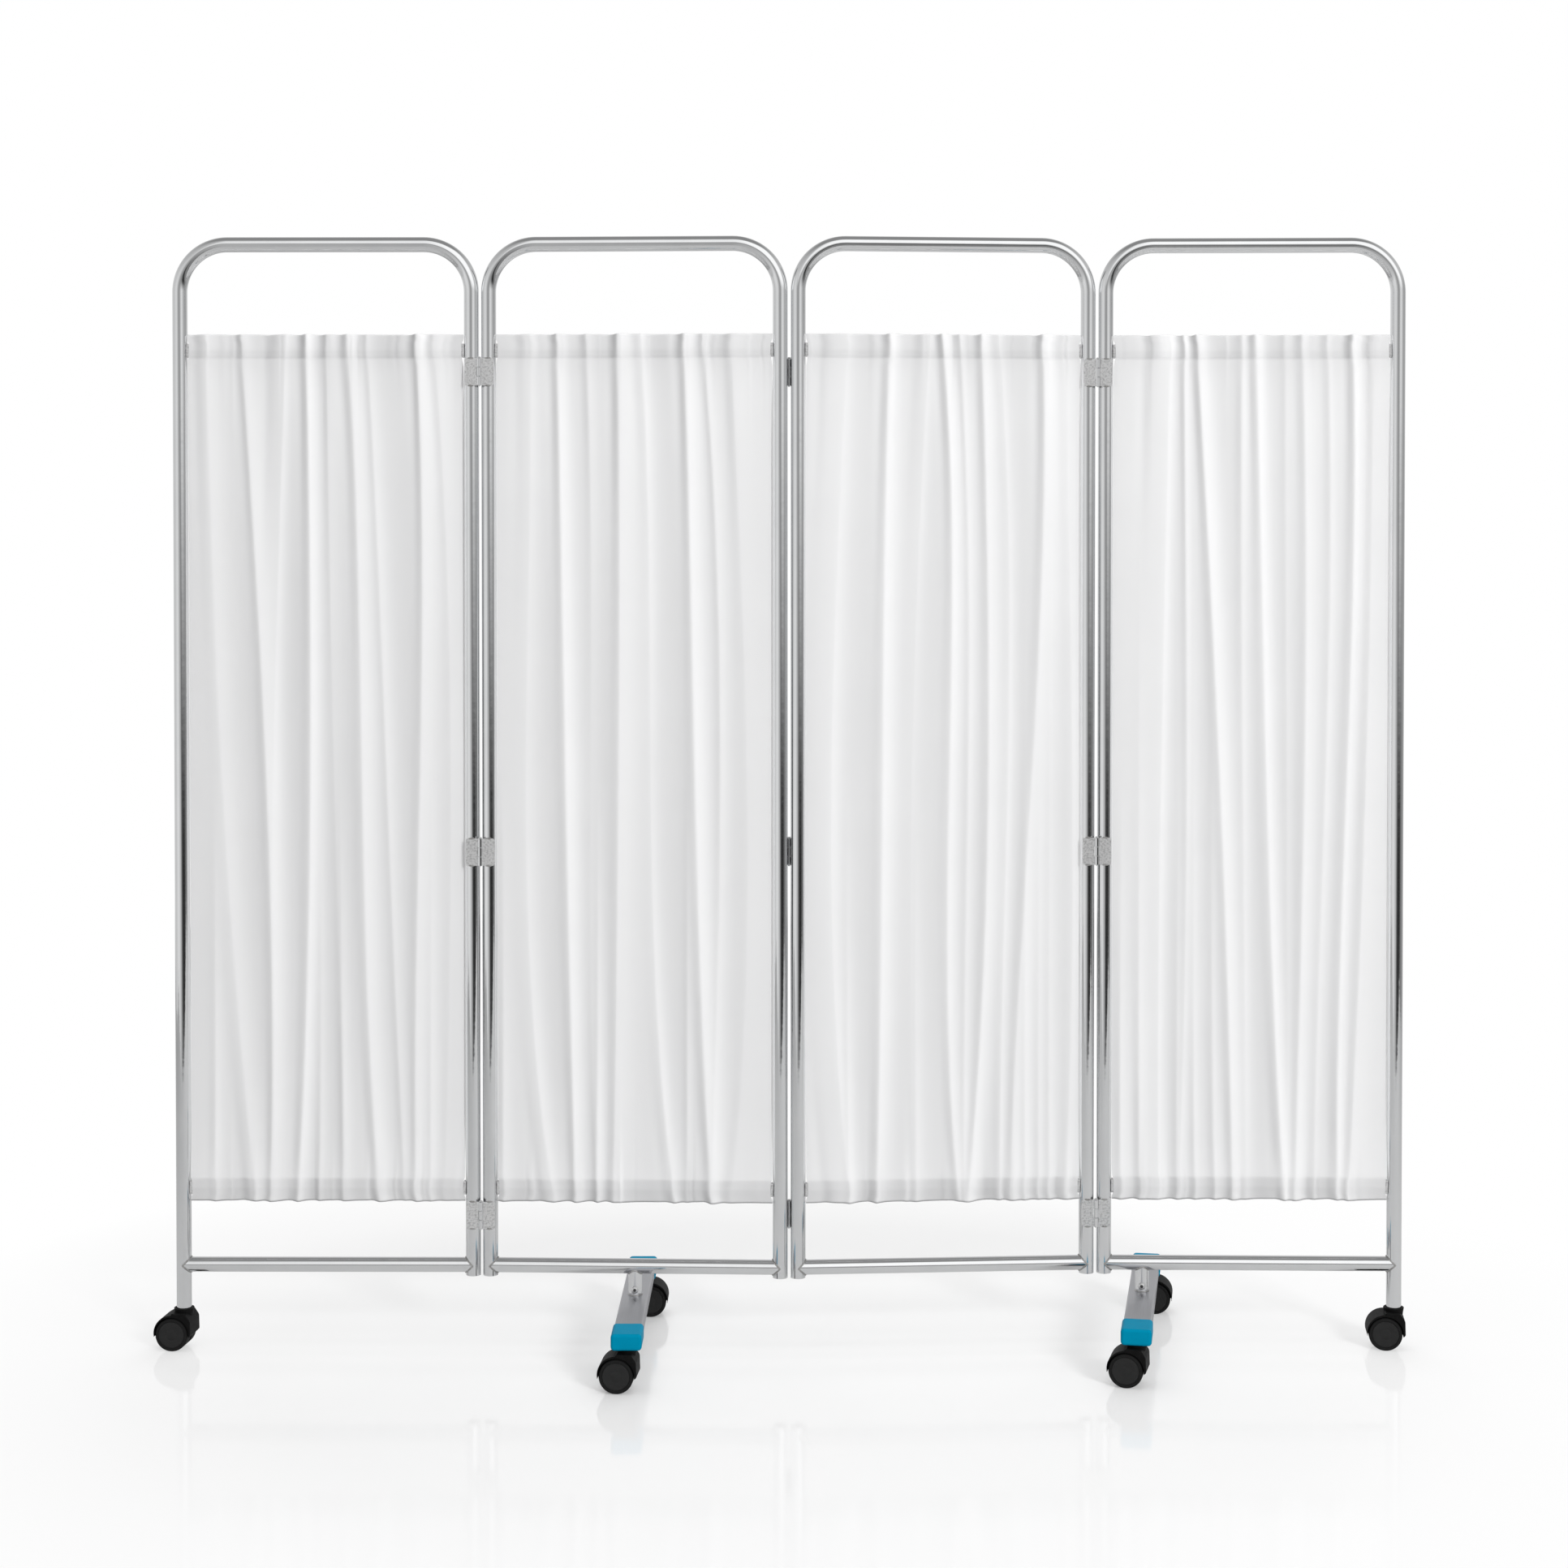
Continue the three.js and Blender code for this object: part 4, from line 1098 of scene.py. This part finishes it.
def depth_and_lean(z, nearest, is_double):
    """How deep the folds of a row are, and how far the row hangs in front of the rods."""
    if is_double:
        ruffle = max(0.0, z - rod_levels["top"], rod_levels["bottom"] - z) / HEM
        return FOLD_DEPTH * (HEM_DEPTH + RUFFLE_DEPTH * ruffle), STITCH_LEAN * (1 - RUFFLE_LEAN * ruffle)
    depth = FOLD_DEPTH * (1 - STITCH_DEPTH * math.exp(-(nearest / STITCH_REACH) ** 1.2))
    return depth, STITCH_LEAN * math.exp(-nearest / LEAN_REACH)


print("folds are", FOLD_DEPTH, "mm deep, and", FOLD_DEPTH * HEM_DEPTH, "mm on the rods")

# %% The curtain mesh
COLUMNS = 400
LAYER_GAP = 0.45
WRINKLE_GAIN = 0.7
ROD_CLEAR = ROD_RADIUS + 0.6
ROD_SLACK, ROD_REACH = 1.6, 6.5
MOST_FORWARD = 11
EDGE_REACH, TOP_EDGE_WAVE, BOTTOM_EDGE_WAVE = 20, 2.6, 4.4
NARROW_REACH = 14.5
# Painted shade for the crest attribute: lighter on crests and forward wrinkles, darker on left flanks.
TONE_GAIN, TONE_LIFT, WRINKLE_PAINTED_SHADE = 1.5, 0.2, 0.12
FLANK_PAINTED_SHADE = 9.0
# A painted shadow along the lowest 1.5 mm of the curtain's bottom edge.
EDGE_LINE, PAINTED_SHADOW_AT_EDGE = 1.5, 0.7


def curtain_mesh(number):
    """The points of each row, and what every point knows about itself."""
    rng = np.random.default_rng(40 + number)
    shares = np.linspace(0, 1, COLUMNS + 1)
    gathers = {at_top: small_gathers(rng, shares) for at_top in (True, False)}
    points, doubled, crests = [], [], []
    for z, layer, is_double in cloth_path():
        height_share = (z - CLOTH_LOW) / (CLOTH_HIGH - CLOTH_LOW)
        at_top = height_share > 0.5
        wave = centred(crest_sum(number, height_share, shares))
        folds = np.tanh(wave * FOLD_GAIN)
        valley = 1 - (0.5 + 0.5 * folds)
        nearest = min(abs(z - stitch) for stitch in STITCHES)
        near_rod = min(abs(z - height) for height in rod_levels.values())
        depth, lean = depth_and_lean(z, nearest, is_double)
        forms, runs = gathers[at_top]
        wrinkles = (forms * np.exp(-(0 if is_double else nearest) / runs)).sum(0)
        front = -folds * depth - lean - LAYER_GAP - WRINKLE_GAIN * wrinkles
        at_rod = math.exp(-(near_rod / ROD_REACH) ** 2)
        behind = (front + 2 * LAYER_GAP) * (1 - at_rod) + (ROD_CLEAR + ROD_SLACK * valley) * at_rod
        y = front * (1 - layer) / 2 + behind * (1 + layer) / 2
        edge_share = max(0.0, 1 - min(CLOTH_HIGH - z, z - CLOTH_LOW) / EDGE_REACH)
        heights = z + edge_share * valley * (-TOP_EDGE_WAVE if at_top else BOTTOM_EDGE_WAVE)
        widening = 1 - math.exp(-(near_rod / NARROW_REACH) ** 6)
        half_width = HEM_HALF_WIDTH + (CLOTH_HALF_WIDTH - HEM_HALF_WIDTH) * widening
        x = (shares * 2 - 1) * half_width
        y = np.clip(y, -MOST_FORWARD, MOST_FORWARD)
        points.append(np.stack([x, y, np.broadcast_to(heights, x.shape)], axis=1))
        doubled += [is_double] * len(shares)
        # Painted shade: the tone follows the folds, darkens each fold's left flank and lightens forward
        # wrinkles.
        climb = np.gradient(wave) * COLUMNS / (2 * CLOTH_HALF_WIDTH)
        painted_fold_shade = np.tanh(wave * TONE_GAIN + TONE_LIFT - climb * FLANK_PAINTED_SHADE)
        # Painted shadow along the bottom edge of the cloth.
        painted_edge_shadow = PAINTED_SHADOW_AT_EDGE if z < CLOTH_LOW + EDGE_LINE else 0.0
        crests += (0.5 + 0.5 * painted_fold_shade + WRINKLE_PAINTED_SHADE * wrinkles - painted_edge_shadow).clip(0, 1).tolist()
    return np.array(points), {"doubled": doubled, "crest": crests}


print("columns of cloth:", COLUMNS)

# %% Four curtains


def make_curtain(number):
    rows, tones = curtain_mesh(number)
    width = rows.shape[1]
    faces = []
    for row in range(len(rows) - 1):
        start = row * width
        faces += [(i, i + width, i + width + 1, i + 1) for i in range(start, start + width - 1)]
    mesh = bpy.data.meshes.new(f"gathered_curtain_{number}")
    mesh.from_pydata((rows.reshape(-1, 3) * MM).tolist(), [], faces)
    mesh.materials.append(COTTON)
    for name, values in tones.items():
        mesh.attributes.new(name, "FLOAT", "POINT").data.foreach_set("value", values)
    mesh.polygons.foreach_set("use_smooth", [True] * len(mesh.polygons))
    curtain = add_object(f"gathered_curtain_{number}", mesh, panel_places[number])
    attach(curtain, f"panel_{number}")
    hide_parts(f"curtain_{number}")
    across = np.linalg.norm(np.diff(rows[len(rows) // 2], axis=0), axis=1).sum()
    along = np.linalg.norm(np.diff(rows[:, width // 2], axis=0), axis=1).sum()
    print(f"curtain {number}: {across:.0f} x {along:.0f} mm of cloth")


for number in PANELS:
    make_curtain(number)

# %% [markdown]
# ## Feet
# A foot is a rectangular aluminium tube across the screen, with a blue plastic cap over each end. A short
# post with a round saddle carries the rail, and one socket screw holds it.

# %% Bars and caps
BAR_WIDTH, BAR_HEIGHT, BAR_CORNER = 40, 20, 3
low, high = corners_of("foot_bar_2", foot_places[2])
BAR_MIDDLE = (low.z + high.z) / 2 / MM
BAR_HALF = high.y / MM
BAR_TOP = high.z / MM
low, high = corners_of("foot_cap_2_front", foot_places[2])
CAP_END, CAP_START = -low.y / MM, -high.y / MM
CAP_WIDTH, CAP_HEIGHT = (high.x - low.x) / MM, (high.z - low.z) / MM
CAP_CORNER, CAP_ROUND = 5.4, 4.6
CAP_STEPS = 8


def cap_shape(end):
    """A moulded cap: a thin lip, straight sides and a rounded outer end."""
    outline = rectangle(CAP_WIDTH, CAP_HEIGHT, CAP_CORNER, CAP_STEPS)
    straight = CAP_END - CAP_START - CAP_ROUND
    levels = [(1.3, 0), (0.5, 0), (0.12, 0.14), (0, 0.5), (0, straight)]
    for turn in quarter_turn(CAP_STEPS)[1:]:
        levels.append((CAP_ROUND * (1 - math.cos(turn)), straight + CAP_ROUND * math.sin(turn)))
    rings = []
    for inset, depth in levels:
        y = end * (CAP_START + depth)
        rings.append([Vector((p.x, y, BAR_MIDDLE + p.y)) for p in inset_outline(outline, inset)])
    return Shape().skin(rings)


bar = Shape().plate(rectangle(BAR_WIDTH, BAR_HEIGHT, BAR_CORNER), 2 * BAR_HALF,
                    shifted(0, 0, BAR_MIDDLE, ((90, "X"),)), 0.4)
print("foot bars:", round(2 * BAR_HALF), "mm long, tops at", round(BAR_TOP, 1), "mm")

# %% [markdown]
# ## Posts and screws
# The top of a post is cut to the rail's round, and the rail crosses the foot at the panel's own angle. So
# each point of the saddle asks how high the rail's skin lies over it. The socket of the screw is a hexagon:
# its rings leave the circle where the sides of the key would lie.

# %% Posts and screws
POST_RADIUS = 10
POST_SIDES = 64
POST_BITE, SADDLE_BITE = 0.5, 0.4
TILT_UNDER_RAIL, TILT_ON_BAR = -6, 8
SCREW_HEIGHT = 9
SOCKET_HALF = 2.2
SCREW_HEAD = [(0, -8), (2.5, -8), (2.5, 0), (5.2, 0), (5.5, 0.3), (5.4, 1.2), (4.7, 2.4), (3.4, 3.3),
              (2.9, 3.5)]
SCREW_SOCKET = [(1.0, 3.45), (1.0, 1.2), (0.6, 0.9), (0.0, 0.8)]


def saddle_height(point, turn):
    """How high the rail's lower skin lies over a point of the foot."""
    across = point.x * math.sin(turn) + point.y * math.cos(turn)
    return RAIL_Z - math.sqrt(max(0.0, RADIUS ** 2 - across ** 2))


def post_shape(turn):
    bottom = [ring_point(POST_RADIUS, t, BAR_TOP) for t in full_turn(POST_SIDES)]
    saddle = [Vector((p.x, p.y, saddle_height(p, turn))) for p in bottom]
    shape = Shape().skin([[p - Vector((0, 0, POST_BITE)) for p in bottom],
                          [p + Vector((0, 0, SADDLE_BITE)) for p in saddle]])
    weld_bead(shape, saddle, [Vector((p.x, p.y, TILT_UNDER_RAIL)) for p in saddle], 1.1, 1.5)
    weld_bead(shape, bottom, [Vector((p.x, p.y, TILT_ON_BAR)) for p in bottom], 1.0, 1.5)
    return shape


def screw_shape():
    """A button head with a hexagon socket, on a screw into the post."""
    at = shifted(0, -POST_RADIUS - 0.3, BAR_TOP + SCREW_HEIGHT, ((90, "X"),))
    turns = full_turn(48)
    head = [[at @ ring_point(radius, t, height) for t in turns] for radius, height in SCREW_HEAD]
    socket = []
    for scale, height in SCREW_SOCKET:
        radii = [scale * SOCKET_HALF / math.cos((t % (math.pi / 3)) - math.pi / 6) for t in turns]
        socket.append([at @ ring_point(radius, t, height) for radius, t in zip(radii, turns)])
    shape = Shape().skin(head + socket[:1], 0, ends=False)
    return shape.skin(socket, 1, ends=False)


for number, place in foot_places.items():
    body = f"panel_{number}"
    make_piece(f"bar_{number}", bar, place, [SATIN], body, [f"foot_bar_{number}"])
    for name, end in (("front", -1), ("rear", 1)):
        make_piece(f"cap_{number}_{name}", cap_shape(end), place, [BLUE], body,
                   [f"foot_cap_{number}_{name}"])
    turned = (panel_places[number].inverted() @ place).to_euler().z
    make_piece(f"post_{number}", post_shape(turned), place, [CHROME, WELD], body, [f"foot_post_{number}"])
    make_piece(f"socket_screw_{number}", screw_shape(), place, [ZINC, OXIDE], body,
               [f"foot_bolt_{number}"])
    print(f"foot {number} is turned against its rail by", round(math.degrees(turned), 1), "degrees")

# %% [markdown]
# ## Casters
# A twin-wheel caster has two wheels on one axle, with the nylon housing between and over them. The housing
# is an extruded profile with two wells cut into it, joined to a turned collar and a stem. A boolean
# is the natural way to cut a well, because the real mould has the same cylinder as its core.

# %% Cutting with booleans


def scratch_object(shape):
    mesh = bpy.data.meshes.new("scratch")
    mesh.from_pydata(shape.points, [], shape.faces)
    mend(mesh, SAME_PLACE_MM)
    return add_object("scratch", mesh)


def cut(shape, wells):
    """The shape without its wells."""
    target = scratch_object(shape)
    tools = [scratch_object(well) for well in wells]
    for tool in tools:
        modifier = target.modifiers.new("well", "BOOLEAN")
        modifier.operation = "DIFFERENCE"
        modifier.solver = "MANIFOLD"
        modifier.object = tool
    result = target.evaluated_get(bpy.context.evaluated_depsgraph_get()).to_mesh()
    made = Shape().add([vertex.co.copy() for vertex in result.vertices],
                       [list(face.vertices) for face in result.polygons])
    for scratch in (target, *tools):
        mesh = scratch.data
        bpy.data.objects.remove(scratch)
        bpy.data.meshes.remove(mesh)
    return made


# %% Caster housing
WHEEL_RADIUS = joints["roll_end_left_a"]["pos_m"][2] / MM
TRAIL = 13
HOOD_RADIUS, HOOD_WIDTH = 28.7, 46
HOOD_THINNING = 2.1
HOOD_STEPS = 36
HOOD_TIP = math.radians(186)
NECK_BACK = -13.5
SHOULDER = 56
COLLAR_TOP = 61
WELL = [(0, 0), (25.2, 0), (26.2, 1.0), (26.2, 30), (0, 30)]
WELL_SIDES = 96
AXLE = [(0, 0), (8, 0), (8, 3.7), (5, 3.9), (3, 3.9), (3, 18.6), (0, 18.6)]
COLLAR = [(0, -10.2), (13.4, -10.2), (13.6, -8), (14.3, -4), (14.9, -0.7), (14.6, -0.1), (14.2, 0),
          (12.0, 0), (11.7, -0.3), (11.7, -2.5), (4, -2.5), (4, 17.0), (3.5, 17.5), (0, 17.5)]


def hood_outline():
    """The side view of the housing: an arc over the wheels, a shoulder and a leg down to the axle."""
    end = math.acos((NECK_BACK + TRAIL) / HOOD_RADIUS)
    outline = []
    for step in range(HOOD_STEPS + 1):
        turn = HOOD_TIP + (end - HOOD_TIP) * step / HOOD_STEPS
        radius = HOOD_RADIUS - HOOD_THINNING * (1 - step / HOOD_STEPS) ** 2
        outline.append((-TRAIL + radius * math.cos(turn), WHEEL_RADIUS + radius * math.sin(turn), 0))
    outline += [(NECK_BACK, SHOULDER, 1.5), (8, SHOULDER, 6), (15.4, 45, 8), (16, 24, 3), (10, 18, 3),
                (-TRAIL, WHEEL_RADIUS - 5, 0)]
    return rounded(outline[::-1], 6)


def sideways(side, gap):
    """A place on the wheels' axis that looks to one side."""
    turn = Matrix.Rotation(-side * math.pi / 2, 4, "X")
    return Matrix.Translation((-TRAIL, side * gap, WHEEL_RADIUS)) @ turn


def housing_shape():
    hood = Shape().plate(hood_outline(), HOOD_WIDTH, shifted(0, 0, 0, ((90, "X"),)), 1.6, steps=4)
    shape = cut(hood, [Shape().lathe(WELL, sideways(side, 3.5), sides=WELL_SIDES) for side in (-1, 1)])
    for side in (-1, 1):
        shape.lathe(AXLE, sideways(side, 0), sides=40)
    return shape.lathe(COLLAR, Matrix.Translation((0, 0, COLLAR_TOP)), sides=64)


housing = housing_shape()
print("caster housing:", len(housing.faces), "faces, wheels of", round(2 * WHEEL_RADIUS, 1), "mm")

# %% [markdown]
# ## Wheels
# A wheel is one turned profile with two shallow grooves in its tread, and a domed hub cover in the outer
# face. Both are closed shapes, so the wheel looks solid from every side.

# %% Wheels
INNER_FACE = [(3.4, 0.2), (21.5, 0.2), (23.4, 0.4), (24.2 / 24.52 * WHEEL_RADIUS, 1.0)]
TREAD_DEPTHS = [(0, 2.2), (0, 5.6), (0.5, 5.9), (0.5, 6.5), (0, 6.8), (0, 11.4), (0.5, 11.7), (0.5, 12.3),
                (0, 12.6), (0, 15.6), (0.4, 16.9), (1.4, 17.9), (3.2, 18.3)]
OUTER_FACE = [(20.2, 18.25), (19.6, 17.9), (19.5, 17.0), (3.4, 15.0)]
HUB_COVER = [(19.4, 16.4), (19.4, 17.3), (19.0, 17.75), (18.2, 17.95), (16.0, 17.85), (9.0, 17.4),
             (8.4, 17.1), (7.9, 17.1), (7.3, 17.4), (4.0, 17.7), (0, 17.8)]
WHEEL_SIDES = 96
profile = INNER_FACE + [(WHEEL_RADIUS - depth, height) for depth, height in TREAD_DEPTHS] + OUTER_FACE
wheel = Shape().lathe(profile, sides=WHEEL_SIDES, closed=True)
wheel.lathe(HUB_COVER, sides=WHEEL_SIDES, finish_index=1)
print("a wheel has", len(wheel.faces), "faces")

# %% Six casters
CASTERS = [name[len("swivel_"):] for name in joints if name.startswith("swivel_")]
for name in CASTERS:
    x, y, _ = joints[f"swivel_{name}"]["pos_m"]
    axis = joints[f"roll_{name}_a"]["axis"]
    turn = Matrix.Rotation(math.atan2(-axis[0], axis[1]), 4, "Z")
    body = f"caster_{name}"
    make_piece(f"caster_hood_{name}", housing, Matrix.Translation((x, y, 0)) @ turn, [HOUSING], body,
               [f"{body}_housing"])
    for letter, side in (("a", -1), ("b", 1)):
        axle = Matrix.Translation(joints[f"roll_{name}_{letter}"]["pos_m"]) @ turn
        outwards = axle @ Matrix.Rotation(-side * math.pi / 2, 4, "X")
        make_piece(f"caster_tread_{name}_{letter}", wheel, outwards, [TREAD, HUB], f"{body}_wheel_{letter}",
                   [f"{body}_wheel_{letter}"])
print("casters:", CASTERS)

# %% [markdown]
# ## Last cell

# %% Last cell
import json
